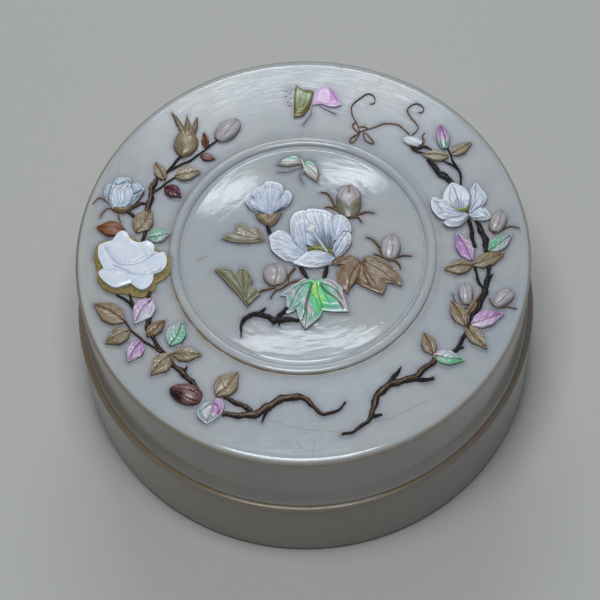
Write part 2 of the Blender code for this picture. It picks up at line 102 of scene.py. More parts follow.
def turn_on_lathe(name, profile, steps):
    """A body spun about the Z axis from one point that is drawn out along its profile."""
    bpy.ops.object.select_all(action="DESELECT")
    bpy.ops.mesh.primitive_plane_add(size=MM)
    piece = bpy.context.object
    piece.name = name
    edit_all()
    bpy.ops.mesh.merge(type="CENTER")
    at = (0.0, 0.0)
    for step, place in enumerate(profile):
        move = ((place[0] - at[0]) * MM, 0, (place[1] - at[1]) * MM)
        if step == 0:
            bpy.ops.transform.translate(value=move)
        else:
            bpy.ops.mesh.extrude_region_move(TRANSFORM_OT_translate={"value": move})
        at = place
    bpy.ops.mesh.select_all(action="SELECT")
    bpy.ops.mesh.spin(steps=steps, angle=2 * math.pi, center=(0, 0, 0), axis=(0, 0, 1))
    weld_and_smooth(TURNED_WELD, TURNED_SMOOTHING)
    return piece


def mark(piece, name, values):
    """Keeps one number for each point of the mesh, which the finish then reads."""
    marks = piece.data.attributes.new(name, "FLOAT", "POINT")
    marks.data.foreach_set("value", np.asarray(values, np.float32))


def places_of(piece):
    """The mesh's points, in millimetres."""
    flat = np.empty(len(piece.data.vertices) * 3)
    piece.data.vertices.foreach_get("co", flat)
    return flat.reshape(-1, 3) / MM


def near_line(values, centre, width):
    """1 on a line across the values and 0 well away from it."""
    return np.exp(-((values - centre) / width) ** 2)


def eased(share):
    """A share from 0 to 1 that starts and ends gently."""
    share = np.clip(share, 0, 1)
    return share * share * (3 - 2 * share)


def new_material(name):
    """A material, the tree of its nodes and its shader."""
    material = bpy.data.materials.new(name)
    material.use_nodes = True
    return material, material.node_tree, material.node_tree.nodes["Principled BSDF"]


def feed(tree, made, inputs):
    """Gives each named input of a node a value, or links it to a socket."""
    for key, value in inputs.items():
        if isinstance(value, bpy.types.NodeSocket):
            tree.links.new(value, made.inputs[key])
        else:
            made.inputs[key].default_value = value
    return made


def node(tree, kind, inputs=None, **settings):
    """A new shader node with its settings and inputs."""
    made = tree.nodes.new(kind)
    for key, value in settings.items():
        setattr(made, key, value)
    return feed(tree, made, inputs or {})


def maths(tree, kind, first, second=0.0):
    """One step of arithmetic between two numbers or sockets."""
    return node(tree, "ShaderNodeMath", {0: first, 1: second}, operation=kind).outputs[0]


def vector_maths(tree, kind, inputs, output=0):
    """One step of arithmetic on places. Output 1 gives a number instead of a place."""
    return node(tree, "ShaderNodeVectorMath", inputs, operation=kind).outputs[output]


def blended(tree, share, here, there):
    """A colour between two others, by a share from 0 to 1."""
    return node(tree, "ShaderNodeMix", {0: share, 6: here, 7: there},
                data_type="RGBA").outputs[2]


def ranged(tree, value, low, high, to_low, to_high):
    """A value moved from one range to another and held inside it."""
    made = node(tree, "ShaderNodeMapRange", {0: value, 1: low, 2: high, 3: to_low, 4: to_high})
    return made.outputs[0]


def noise(tree, where, scale, detail=3.0):
    """Soft noise from 0 to 1, with its scale in lumps for each millimetre."""
    made = node(tree, "ShaderNodeTexNoise", {"Vector": where, "Scale": scale, "Detail": detail})
    return made.outputs[0]


def millimetres(tree):
    """The piece's own coordinates, in millimetres."""
    place = node(tree, "ShaderNodeTexCoord").outputs["Object"]
    return vector_maths(tree, "SCALE", {0: place, "Scale": 1000.0})


def marked(tree, name):
    """The number that mark() has left at this place of the mesh."""
    return node(tree, "ShaderNodeAttribute", attribute_name=name).outputs["Fac"]


def scratch(tree, flat, start, end, width):
    """1 on a scratch between two places on the lid, and 0 beside it."""
    along = Vector((end[0] - start[0], end[1] - start[1], 0))
    away = vector_maths(tree, "SUBTRACT", {0: flat, 1: (*start, 0)})
    share = vector_maths(tree, "DOT_PRODUCT", {0: away, 1: along / along.length_squared}, 1)
    share = node(tree, "ShaderNodeClamp", {0: share}).outputs[0]
    foot = vector_maths(tree, "SCALE", {0: tuple(along), "Scale": share})
    apart = vector_maths(tree, "DISTANCE", {0: away, 1: foot}, 1)
    return ranged(tree, apart, 0.0, width, 1.0, 0.0)


def turned_noise(tree, axes, stretch, scale, detail=3.0):
    """Noise as the lathe leaves it, with its stretch round the axis and away from it."""
    ways = [vector_maths(tree, "SCALE", {0: axis, "Scale": size})
            for axis, size in zip(axes, stretch)]
    return noise(tree, vector_maths(tree, "ADD", {0: ways[0], 1: ways[1]}), scale, detail)


IVORY_COOL = (0.5, 0.535, 0.555, 1)
IVORY_WARM = (0.585, 0.575, 0.53, 1)
IVORY_STAIN = (0.3, 0.195, 0.09, 1)
IVORY_SHADE = (0.23, 0.235, 0.27, 1)
IVORY_DUST_AND_SHADOW = (0.25, 0.245, 0.3, 1)
IVORY_WALL_SHADE = (0.29, 0.238, 0.172, 1)
SPIRALS = 280
SPIRAL_PITCH = 12.0
POLISH_DEPTH = 0.004 * MM
CRACKS = (
    ((-3.2, -40.1), (-1.5, -42.2), 0.17, 0.55, IVORY_SHADE),
    ((0.4, -40.1), (-0.1, -43.4), 0.17, 0.55, IVORY_SHADE),
    ((-4.6, -41.0), (-3.2, -42.9), 0.15, 0.35, IVORY_SHADE),
    ((-1.0, -18.2), (-2.7, -20.1), 0.13, 0.5, IVORY_STAIN),
    ((18.0, 40.4), (17.0, 38.0), 0.35, 0.6, IVORY_SHADE),
    ((10.0, 43.2), (9.5, 41.3), 0.2, 0.5, IVORY_SHADE),
    ((-8.0, -35.5), (-2.3, -37.7), 0.22, 0.3, IVORY_STAIN),
    ((-2.3, -37.7), (5.7, -38.9), 0.22, 0.35, IVORY_STAIN),
    ((5.7, -38.9), (15.2, -36.3), 0.22, 0.22, IVORY_STAIN),
    ((15.2, -36.3), (23.1, -32.8), 0.25, 0.3, IVORY_STAIN),
    ((-20.7, -0.2), (-19.0, 0.5), 0.5, 0.35, IVORY_STAIN))


def ivory_finish():
    """Waxed ivory with crossing growth lines, fine lathe marks, old stains, cracks, dust with a
    painted contact shadow, and painted shade.
    """
    material, tree, shader = new_material("ivory_waxed")
    where = millimetres(tree)
    flat = vector_maths(tree, "MULTIPLY", {0: where, 1: (1, 1, 0)})
    reach = vector_maths(tree, "LENGTH", {0: flat}, 1)
    around = vector_maths(tree, "NORMALIZE", {0: flat})
    outwards = node(tree, "ShaderNodeCombineXYZ", {2: reach}).outputs[0]
    axes = (around, outwards)
    lathe_marks = turned_noise(tree, axes, (4.5, 1.0), 1.5)
    fine_marks = turned_noise(tree, axes, (4.5, 1.6), 1.6)
    bands = turned_noise(tree, axes, (4.5, 0.0), 2.2)
    brushed = turned_noise(tree, axes, (8.0, 1.8), 1.4)
    ripples = turned_noise(tree, axes, (6.0, 0.65), 1.4, 0.5)
    split = node(tree, "ShaderNodeSeparateXYZ", {0: where})
    angle = maths(tree, "ARCTAN2", split.outputs[1], split.outputs[0])
    sway = maths(tree, "MULTIPLY", noise(tree, where, 0.25, 2.0), 5.0)
    growth = None
    for way in (1, -1):
        phase = maths(tree, "MULTIPLY", reach, way * SPIRAL_PITCH)
        phase = maths(tree, "ADD", phase, maths(tree, "MULTIPLY", angle, float(SPIRALS)))
        wave = maths(tree, "SINE", maths(tree, "ADD", phase, sway))
        wave = ranged(tree, wave, -1.0, 1.0, 0.0, 1.0)
        growth = wave if growth is None else maths(tree, "ADD", growth, wave)
    clouds = ranged(tree, noise(tree, where, 0.06), 0.32, 0.68, 0.0, 0.75)
    warmth = maths(tree, "MAXIMUM", clouds, marked(tree, "warm"))
    colour = blended(tree, warmth, IVORY_COOL, IVORY_WARM)
    # Painted shade on the wall: a darker, browner ivory where the mark is set
    colour = blended(tree, marked(tree, "wall_shade"), colour, IVORY_WALL_SHADE)
    bands = ranged(tree, bands, 0.35, 0.65, 0.0, 0.12)
    bands = maths(tree, "MULTIPLY", bands, marked(tree, "satin"))
    colour = blended(tree, bands, colour, IVORY_SHADE)
    colour = blended(tree, maths(tree, "MULTIPLY", growth, 0.02), colour, IVORY_SHADE)
    colour = blended(tree, ranged(tree, lathe_marks, 0.35, 0.75, 0.0, 0.1), colour, IVORY_SHADE)
    patchy = ranged(tree, noise(tree, where, 0.35), 0.3, 0.65, 0.45, 1.0)
    stain = maths(tree, "MULTIPLY", marked(tree, "stain"), patchy)
    colour = blended(tree, stain, colour, IVORY_STAIN)
    for start, end, width, depth, tint in CRACKS:
        line = maths(tree, "MULTIPLY", scratch(tree, flat, start, end, width), depth)
        colour = blended(tree, line, colour, tint)
    colour = blended(tree, marked(tree, "shade"), colour, IVORY_SHADE)
    # Dust round the inlay, together with a painted contact shadow
    dust_and_shadow = maths(tree, "MULTIPLY", marked(tree, "dust_and_shadow"), patchy)
    colour = blended(tree, dust_and_shadow, colour, IVORY_DUST_AND_SHADOW)
    rough = ranged(tree, lathe_marks, 0.3, 0.7, 0.05, 0.09)
    satin = ranged(tree, brushed, 0.35, 0.65, 0.1, 0.2)
    rough = maths(tree, "ADD", rough, maths(tree, "MULTIPLY", marked(tree, "satin"), satin))
    relief = maths(tree, "MULTIPLY", fine_marks, 0.6)
    brushed_field = maths(tree, "MULTIPLY", brushed, marked(tree, "satin"))
    for height, share in ((growth, 0.35), (ripples, 7.0), (brushed_field, 8.0)):
        relief = maths(tree, "ADD", relief, maths(tree, "MULTIPLY", height, share))
    bump = node(tree, "ShaderNodeBump",
                {"Height": relief, "Distance": POLISH_DEPTH, "Strength": 0.5})
    feed(tree, shader, {
        "Base Color": colour, "Roughness": rough, "Normal": bump.outputs[0],
        "Subsurface Weight": 0.1, "Subsurface Radius": (1.0, 0.8, 0.6),
        "Subsurface Scale": 0.0012, "Specular IOR Level": 0.5})
    return material


ivory = ivory_finish()

bead_centre = body_radius + BEAD_PROUD - BEAD_RADIUS
# The floor and the round corner inside
box_profile = [(0, FLOOR_LEVEL), (FLAT_RADIUS, FLOOR_LEVEL)]
box_profile += turned_arc(CAVITY_RADIUS - CAVITY_ROUND, FLOOR_LEVEL + CAVITY_ROUND,
                          CAVITY_ROUND, -90, 0, 10)
# The mouth and the flange
box_profile += [(CAVITY_RADIUS, body_top - 4.0), (MOUTH_RADIUS + 0.3, body_top - 1.8)]
box_profile += [(MOUTH_RADIUS, body_top - 1.4)]
box_profile += turned_arc(MOUTH_RADIUS + MOUTH_ROUND, body_top + FLANGE_HEIGHT - MOUTH_ROUND,
                          MOUTH_ROUND, 180, 90, 4)
box_profile += turned_arc(FLANGE_RADIUS - FLANGE_ROUND, body_top + FLANGE_HEIGHT - FLANGE_ROUND,
                          FLANGE_ROUND, 90, 0, 4)
box_profile += [(FLANGE_RADIUS, body_top + 0.05), (FLANGE_RADIUS + 0.05, body_top)]
# The lower half of the bead, the groove under it and the wall
box_profile += turned_arc(bead_centre, body_top - BEAD_RADIUS, BEAD_RADIUS, 90, -52, 20)
box_profile += [(body_radius - GROOVE_DEPTH, body_top - 1.52),
                (body_radius - GROOVE_DEPTH, body_top - 1.72), (body_radius, wall_top)]
box_profile += [(body_radius - WALL_TAPER * i / WALL_STEPS,
                 wall_top - (body_top - 3.0) * i / WALL_STEPS) for i in range(1, WALL_STEPS)]
# The rounded foot and its hollow
box_profile += turned_arc(foot_radius - FOOT_ROUND, FOOT_ROUND, FOOT_ROUND, 0, -90, 8)
box_profile += [(foot_radius - 4.5, 0), (foot_radius - 4.8, 0.25),
                (foot_radius - 5.3, FOOT_HOLLOW), (FLAT_RADIUS, FOOT_HOLLOW), (0, FOOT_HOLLOW)]
box = turn_on_lathe("turned_box", box_profile, BOX_STEPS)
side, depth, level = places_of(box).T
reach = np.hypot(side, depth)
outside = (reach > 44.5).astype(float)
near_joint = (reach > 41.0) & (level > body_top - 0.12) & (level < body_top + 0.5)
# Brown stain at the joint and at the foot, and painted shade in the groove, towards the foot and to
# the right
mark(box, "stain", 0.85 * near_joint + outside * 0.25 * near_line(level, 0.5, 0.9))
mark(box, "shade", outside * (0.7 * near_line(level, groove_middle, 0.14)
                              + 0.12 * eased((12 - level) / 12)
                              + 0.35 * np.clip(side / 45, 0, 1)))
# The wall is satin and warm all round, and darkened with painted shade, most of all on the bead at
# the top
mark(box, "satin", np.full(len(reach), 0.8))
mark(box, "warm", np.full(len(reach), 0.7))
mark(box, "wall_shade", np.where(level > body_top - 1.3, 0.95, 0.8))
box.data.materials.append(ivory)
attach(box, "root")
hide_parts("box")


# The lid
# Turned from the same block as the box. A ring moulding with two incised lines stands round
# a gently domed middle; the field outside it slopes to a softly rounded edge.

LID_FOOT = body_top + 0.3
RIM_LEVEL = LID_FOOT + 20.0
RIM_RADIUS = 45.0
EDGE_ROUND = 1.0
EDGE_REACH = 1.8
field_edge = RIM_RADIUS - EDGE_REACH
FIELD_RISE = 1.37
FIELD_CURVE = 1.6
DOME_RADIUS = 23.6
DOME_RISE = 0.9
RING_RADIUS = 25.35
RING_HALF_WIDTH = 1.05
ring_foot = RING_RADIUS + RING_HALF_WIDTH
RING_RISE = 0.6
LID_WALL_FOOT = 44.15
LID_BORE = 41.45
LID_STEPS = 420
DOME_STEPS = 56
RING_STEPS = 20
LID_WALL_STEPS = 18
EDGE_STEPS = 18
CEILING_ROUND = 2.2
INNER_GROOVE = 23.87
FIELD_END = 43.5
lid_ceiling = RIM_LEVEL - 3.0


def lid_top(radius):
    """Height of the lid's top over the joint plane, on the domed middle or on the field."""
    dome = FIELD_RISE + DOME_RISE * (1 - (radius / DOME_RADIUS) ** 2)
    slope = np.clip((radius - ring_foot) / (field_edge - ring_foot), 0, 1)
    field = FIELD_RISE * (1 - slope ** FIELD_CURVE)
    return RIM_LEVEL + np.where(radius <= DOME_RADIUS, dome, field)


foot_level = RIM_LEVEL + FIELD_RISE
# The domed middle and the groove round it
lid_profile = [(DOME_RADIUS * i / DOME_STEPS, float(lid_top(DOME_RADIUS * i / DOME_STEPS)))
               for i in range(DOME_STEPS + 1)]
lid_profile += [(23.72, foot_level - 0.06), (23.85, foot_level - 0.11), (24.0, foot_level - 0.09),
                (24.12, foot_level - 0.07), (24.22, foot_level - 0.1), (24.3, foot_level - 0.02)]
# The ring moulding and its outer groove
for i in range(1, RING_STEPS):
    angle = math.radians(180 - 180 * i / RING_STEPS)
    flat = RING_RADIUS + RING_HALF_WIDTH * math.cos(angle)
    lid_profile.append((flat, foot_level + RING_RISE * math.sin(angle) ** 0.85))
lid_profile += [(ring_foot, foot_level - 0.06), (ring_foot + 0.12, foot_level - 0.05),
                (ring_foot + 0.25, foot_level)]
# The field and its rounded edge
lid_profile += [(r, float(lid_top(r))) for r in np.linspace(ring_foot + 0.5, field_edge, 50)]
lid_profile += [(field_edge + r * EDGE_REACH, RIM_LEVEL - EDGE_ROUND + h * EDGE_ROUND)
                for r, h in turned_arc(0, 0, 1, 79, 0, EDGE_STEPS)]
# The wall, drawn in downwards and flared again into the upper half of the bead
wall_drop = RIM_LEVEL - EDGE_ROUND - LID_FOOT - 3.8
lid_profile += [(RIM_RADIUS - (RIM_RADIUS - LID_WALL_FOOT) * i / LID_WALL_STEPS,
                 RIM_LEVEL - EDGE_ROUND - wall_drop * i / LID_WALL_STEPS)
                for i in range(1, LID_WALL_STEPS + 1)]
lid_profile += [(LID_WALL_FOOT + 0.55 * (1 - math.cos(a)), LID_FOOT + 0.3 + 3.5 * (1 - math.sin(a)))
                for a in np.linspace(0.1, 1.45, 9)]
lid_profile += [(LID_WALL_FOOT + 0.6, LID_FOOT - 0.1), (LID_WALL_FOOT + 0.5, LID_FOOT - 0.22),
                (LID_BORE + 0.3, LID_FOOT - 0.22), (LID_BORE, LID_FOOT + 0.1)]
# The bore and the ceiling
lid_profile += turned_arc(LID_BORE - CEILING_ROUND, lid_ceiling - CEILING_ROUND, CEILING_ROUND,
                          0, 90, 8)
lid_profile += [(FLAT_RADIUS, lid_ceiling), (0, lid_ceiling)]
lid = turn_on_lathe("turned_lid", lid_profile, LID_STEPS)
lid_spots = places_of(lid)
side, depth, level = lid_spots.T
reach = np.hypot(side, depth)
turn = np.arctan2(depth, side)
on_top = (level > RIM_LEVEL - 0.2).astype(float)
on_wall = (reach > 43.0) & (level < RIM_LEVEL - 0.3)
front_left = 0.5 + 0.5 * np.cos(turn - math.radians(232))
# Brown stain in the grooves, most at the front left, under the edge and at the joint
groove_stain = (0.95 * near_line(reach, ring_foot + 0.1, 0.22)
                + 0.35 * near_line(reach, ring_foot + 0.4, 0.6)
                + 0.25 * near_line(reach, 23.85, 0.12))
mark(lid, "stain", on_top * (0.1 + 0.9 * front_left ** 1.5) * groove_stain
     + on_wall * 0.55 * near_line(level, RIM_LEVEL - 0.9, 0.55)
     + 0.9 * (level < LID_FOOT + 0.12) * (reach > 41.0))
# Dark specks along the inner groove, most of them at the right, painted shade in the grooves, and a
# soft painted shade by the ring
dots = (np.sin(turn * 97) * np.sin(turn * 61 + 1) > 0.35) * (0.5 + 0.5 * np.cos(turn + 0.3))
mark(lid, "shade", on_top * ((0.18 + 0.45 * dots) * near_line(reach, INNER_GROOVE, 0.13)
                             + 0.16 * near_line(reach, 24.24, 0.1)
                             + 0.22 * near_line(reach, 24.7, 0.35)
                             + 0.22 * near_line(reach, ring_foot + 0.8, 0.9)))
# The dome is polished, and the field and the wall are left satin
field_satin = 0.6 * eased((reach - 23.7) / 0.3) + 0.4 * eased((reach - 25.5) / 2)
wall_satin = 0.8 * eased((RIM_LEVEL - 0.6 - level) / 0.5)
mark(lid, "satin", np.where(
    on_top > 0, field_satin * (0.3 + 0.7 * eased((43.6 - reach) / 0.5)), wall_satin))
# The ivory is warmer at the left, and the wall is darkened with painted shade, most towards the left
mark(lid, "warm", np.maximum(0.9 * eased((-side - 33) / 9) * on_top, 0.6 * on_wall))
mark(lid, "wall_shade", on_wall * (0.42 + 0.35 * np.clip(-side / 45, 0, 1)))
lid.data.materials.append(ivory)
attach(lid, "root")
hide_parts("lid")


# The branches and stems
# Strips of dark wood with a rounded, knotted back, let into the lid and glued. They were bent
# or sawn to shape before carving, and taper to thin ends.

GLUE_GAP = 0.3
STEM_HEIGHT = 0.7
GLUE_EDGE = 0.1
RIM_LEVELS = (0.0, 0.03, 0.02, -0.25)
LEAST_HEIGHT = 0.12
INSET = 0.96
TURN_STEP = 0.02
SHARE_STEP = 0.01
CARVED_SMOOTHING = math.radians(50)
CARVED_WELD = 0.002 * MM
FULL_WIDTH = 0.7
GRAIN_DEPTH = 0.04 * MM
blanks = {}
footprints = []


def finish_blank(blank):
    """Takes the outer edge down to the lid, out over the glue and under, and closes it."""
    for level in RIM_LEVELS[1:]:
        bpy.ops.mesh.extrude_region_move(TRANSFORM_OT_translate={"value": (0, 0, -1)})
    bpy.ops.mesh.edge_face_add()
    bpy.ops.mesh.select_all(action="SELECT")
    bpy.ops.mesh.normals_make_consistent(inside=False)
    bpy.ops.object.mode_set(mode="OBJECT")
    bpy.context.scene.collection.objects.unlink(blank)
    return blank


def thin_blank(along, across):
    """A blank modelled once for each fineness: u from 0 to 1 along X, v from -1 to 1 across."""
    if (along, across) not in blanks:
        bpy.ops.object.select_all(action="DESELECT")
        bpy.ops.mesh.primitive_grid_add(x_subdivisions=along, y_subdivisions=across, size=2)
        blank = bpy.context.object
        edit_all()
        bpy.ops.transform.resize(value=(0.5, 1, 1))
        bpy.ops.transform.translate(value=(0.5, 0, 0))
        bpy.ops.mesh.region_to_loop()
        blanks[along, across] = finish_blank(blank)
    return blanks[along, across]


def smooth_line(points, steps=24, closed=False):
    """Places along a smooth line through drawn points. A point with a third value is sharp."""
    spots = np.array([point[:2] for point in points], float)
    sharp = [len(point) > 2 for point in points]
    count = len(spots)
    line = []
    for i in range(count if closed else count - 1):
        j = (i + 1) % count
        here, there = spots[i], spots[j]
        before = spots[i - 1] if closed or i else here
        after = spots[(i + 2) % count] if closed or i + 2 < count else there
        leave = (there - here) if sharp[i] else (there - before) / 2
        arrive = (there - here) if sharp[j] else (after - here) / 2
        t = (np.arange(steps) / steps)[:, None]
        line.append(here * (2 * t ** 3 - 3 * t ** 2 + 1) + leave * (t ** 3 - 2 * t ** 2 + t)
                    + there * (3 * t ** 2 - 2 * t ** 3) + arrive * (t ** 3 - t ** 2))
    if not closed:
        line.append(spots[-1:])
    return np.vstack(line)


def length_of(points):
    """Length of a drawn line, from point to point."""
    return sum(math.dist(a, b) for a, b in zip(points, points[1:]))


def way_to(base, tip):
    """How far the tip is from the base, and the way there."""
    length = math.dist(base, tip)
    return length, (tip[0] - base[0]) / length, (tip[1] - base[1]) / length


def along_line(line, shares):
    """Places at shares of a line's length."""
    lengths = np.concatenate(([0], np.cumsum(np.hypot(*np.diff(line, axis=0).T))))
    at = np.clip(shares, 0, 1) * lengths[-1]
    return np.interp(at, lengths, line[:, 0]), np.interp(at, lengths, line[:, 1])


def away_from(x, y, line):
    """Distance of each place from a drawn line."""
    best = np.full(len(x), 1e9)
    for (ax, ay), (bx, by) in zip(line[:-1], line[1:]):
        dx, dy = bx - ax, by - ay
        share = np.clip(((x - ax) * dx + (y - ay) * dy) / max(dx * dx + dy * dy, 1e-12), 0, 1)
        best = np.minimum(best, np.hypot(x - ax - dx * share, y - ay - dy * share))
    return best


def swell(share, start, peak, peak_at, end):
    """A smooth rise from start to a peak and down to end."""
    rise = (peak - start) * eased(share / peak_at)
    return start + rise + (end - peak) * eased((share - peak_at) / (1 - peak_at))


def carve(name, blank, form, cuts=(), play=0.5, lift=0.0, middle=0.5, streak=0.0):
    """A copy of a blank, carved to its form, engraved, and set down on the lid.

    A form turns u and v into drawn places and a height. A cut is a line, its width, its depth
    and how dark it is. Play is where the colour lies between the finish's two ends. Middle is
    the u at the middle of the blank. The finish draws a fine line at each turn of the streak.
    """
    mesh = blank.data.copy()
    piece = bpy.data.objects.new(name, mesh)
    bpy.context.scene.collection.objects.link(piece)
    spots = places_of(piece) * MM
    u, v = spots[:, 0], spots[:, 1]
    ring = np.rint(-spots[:, 2]).astype(int)
    x, y, height = form(u, v)
    inner_x, inner_y = form(middle + (u - middle) * INSET, v * INSET)[:2]
    out_x, out_y = x - inner_x, y - inner_y
    if not middle:
        turn = np.arctan2(v, u)
        ahead_x, ahead_y = form(np.cos(turn + TURN_STEP), np.sin(turn + TURN_STEP))[:2]
        back_x, back_y = form(np.cos(turn - TURN_STEP), np.sin(turn - TURN_STEP))[:2]
        side_x, side_y = ahead_y - back_y, back_x - ahead_x
        facing = np.sign(side_x * out_x + side_y * out_y)
        out_x, out_y = side_x * facing, side_y * facing
    out = np.hypot(out_x, out_y) + 1e-9
    top = ring == 0
    dark = np.zeros(len(x))
    # Each cut darkens its line: the dark wax in engraved lines, and painted shadow under overlapping
    # parts
    for line, width, depth, stain in cuts:
        close = np.exp(-(away_from(x, y, line) / width) ** 2)
        height = height - depth * close
        dark = np.maximum(dark, stain * close)
    tone = play(u, v, x, y) if callable(play) else np.full(len(x), play)
    spread = np.where(ring >= 2, GLUE_EDGE, 0.0)
    x = x + out_x / out * spread
    y = y + out_y / out * spread
    height = np.where(top, np.maximum(height, LEAST_HEIGHT) + lift, np.array(RIM_LEVELS)[ring])
    z = lid_top(np.hypot(x, y)) + height
    mesh.vertices.foreach_set("co", (np.column_stack((x, y, z)) * MM).ravel())
    edge = np.maximum(np.abs(v), np.abs(2 * u - 1)) if middle else np.hypot(u, v)
    mark(piece, "cut", dark)
    # The side wall is painted dark: the glued seam, and painted shade on the wall
    mark(piece, "glue_and_side_shade", np.where(top, 0.5 * (edge > 0.999), 1.0))
    mark(piece, "edge", top * eased((edge - 0.8) / 0.14))
    mark(piece, "play", tone)
    mark(piece, "streak", streak(u, v) if callable(streak) else np.full(len(x), streak))
    mesh.update()
    footprints.append(np.column_stack((x, y))[ring == 2])
    bpy.ops.object.select_all(action="DESELECT")
    piece.select_set(True)
    bpy.context.view_layer.objects.active = piece
    bpy.ops.object.mode_set(mode="EDIT")
    weld_and_smooth(CARVED_WELD, CARVED_SMOOTHING)
    return piece


def joined(name, pieces):
    """Several carved parts made one piece."""
    bpy.ops.object.select_all(action="DESELECT")
    for piece in pieces:
        piece.select_set(True)
    bpy.context.view_layer.objects.active = pieces[0]
    if len(pieces) > 1:
        bpy.ops.object.join()
    pieces[0].name = name
    return pieces[0]


def polished(name, stops, roughness, grain=1.2, wander=0.5, cut=(0.05, 0.03, 0.015),
             edge=(0.5, 0.42, 0.3), edge_share=0.35, coat=0.1, relief=0.3, streaks=0.0,
             glue_and_side_shade=(0.075, 0.045, 0.024)):
    """A finish whose colour runs between its stops, by the play marked on the piece and noise.

    Cut and edge are the colours of the engraved lines and the rim; the last is the glued seam's, with
    painted shade on the side wall.
    """
    material, tree, shader = new_material(name)
    where = millimetres(tree)
    lumps = noise(tree, where, grain)
    fine = noise(tree, where, grain * 4)
    drift = maths(tree, "MULTIPLY", maths(tree, "SUBTRACT", lumps, 0.5), wander * 2)
    grit = maths(tree, "MULTIPLY", maths(tree, "SUBTRACT", fine, 0.5), wander)
    at = maths(tree, "ADD", marked(tree, "play"), maths(tree, "ADD", drift, grit))
    ramp = node(tree, "ShaderNodeValToRGB", {0: at})
    while len(ramp.color_ramp.elements) < len(stops):
        ramp.color_ramp.elements.new(0.5)
    for element, (place, colour) in zip(ramp.color_ramp.elements, stops):
        element.position = place
        element.color = (*colour, 1)
    shade = ramp.outputs[0]
    if streaks:
        turns = maths(tree, "ADD", marked(tree, "streak"), maths(tree, "MULTIPLY", lumps, 5.0))
        waves = maths(tree, "SINE", turns)
        broken = ranged(tree, fine, 0.4, 0.6, 0.0, 1.0)
        lines = maths(tree, "MULTIPLY", ranged(tree, waves, 0.7, 1.0, 0.0, streaks), broken)
        streaked = maths(tree, "ABSOLUTE", marked(tree, "streak"))
        lines = maths(tree, "MULTIPLY", lines, ranged(tree, streaked, 0.0, 0.4, 0.0, 1.0))
        shade = blended(tree, lines, shade, (*cut, 1))
    edges = maths(tree, "MULTIPLY", marked(tree, "edge"), edge_share)
    shade = blended(tree, edges, shade, (*edge, 1))
    cuts = maths(tree, "MULTIPLY", marked(tree, "cut"), 0.95)
    shade = blended(tree, cuts, shade, (*cut, 1))
    # Darkens the side wall: the glued seam and painted shade
    seam_and_side_shade = ranged(tree, marked(tree, "glue_and_side_shade"), 0.68, 1.0, 0.0, 0.94)
    shade = blended(tree, seam_and_side_shade, shade, (*glue_and_side_shade, 1))
    rough = ranged(tree, fine, 0.3, 0.7, roughness * 0.75, roughness * 1.35)
    bump = node(tree, "ShaderNodeBump", {"Height": fine, "Distance": GRAIN_DEPTH, "Strength": relief})
    feed(tree, shader, {"Base Color": shade, "Roughness": rough, "Normal": bump.outputs[0],
                        "Coat Weight": coat, "Coat Roughness": 0.14})
    return material


dark_wood = polished("dark_wood_waxed", (
    (0.0, (0.01, 0.008, 0.009)), (0.45, (0.035, 0.022, 0.015)), (1.0, (0.24, 0.145, 0.07))),
    0.5, grain=1.8, wander=0.55, edge=(0.1, 0.055, 0.025), edge_share=0.4, coat=0.0, relief=0.7,
    glue_and_side_shade=(0.06, 0.034, 0.018))


def fitted(piece, slot, finish, *nodes):
    """Gives a finished piece its finish, and sets it in place of its plain solids."""
    piece.data.materials.clear()
    piece.data.materials.append(finish)
    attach(piece, "root")
    if nodes:
        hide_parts(*nodes)
    return piece


def stem_form(route, widths, height=STEM_HEIGHT, knots=1.0):
    """A rounded strip along a drawn route, with knots and a bark of shallow ridges."""
    line = smooth_line(route)
    length = length_of(route)

    def form(u, v):
        x, y = along_line(line, u)
        ahead_x, ahead_y = along_line(line, u + SHARE_STEP)
        back_x, back_y = along_line(line, u - SHARE_STEP)
        step = np.hypot(ahead_x - back_x, ahead_y - back_y) + 1e-9
        side_x, side_y = (ahead_y - back_y) / step, -(ahead_x - back_x) / step
        half = np.interp(u, np.linspace(0, 1, len(widths)), widths) / 2
        way = u * length + route[0][0]
        lumps = 0.5 * np.sin(way * 2.1) + 0.3 * np.sin(way * 3.7 + 2 + v) + 0.2 * np.sin(way * 6.1)
        half = half * (1 + 0.2 * knots * lumps)
        sway = 0.1 * knots * np.sin(way * 1.7 + 1)
        ridges = 0.07 * knots * np.sin(v * 8 + way * 2.3) + 0.04 * knots * np.sin(way * 9 + v * 3)
        back = np.sqrt(np.clip(1 - 0.88 * v * v, 0, 1)) * (0.85 + 0.12 * knots * lumps)
        rise = GLUE_GAP + height * back + ridges
        return x + side_x * (v * half + sway), y + side_y * (v * half + sway), rise
    return form


def stem(name, routes, nodes, knots=1.0, height=STEM_HEIGHT):
    """A branch with its side shoots. A route is its points, its widths and its lightness."""
    parts = []
    for points, widths, light in routes:
        blank = thin_blank(int(min(120, max(16, length_of(points) * 6))), 9)
        rise = height * min(1.0, max(widths) / FULL_WIDTH)
        form = stem_form(points, widths, rise, knots)
        # A lighter band along the back of each strip: the wood's own tan streak, and a painted
        # highlight on its crest
        play = (lambda u, v, x, y, light=light:
                0.08 + light * near_line(v, 0.1, 0.5) + 0.12 * np.sin(u * 40 + v * 3))
        parts.append(carve(name, blank, form, play=play))
    return fitted(joined(name, parts), "dark_wood", dark_wood, *nodes)


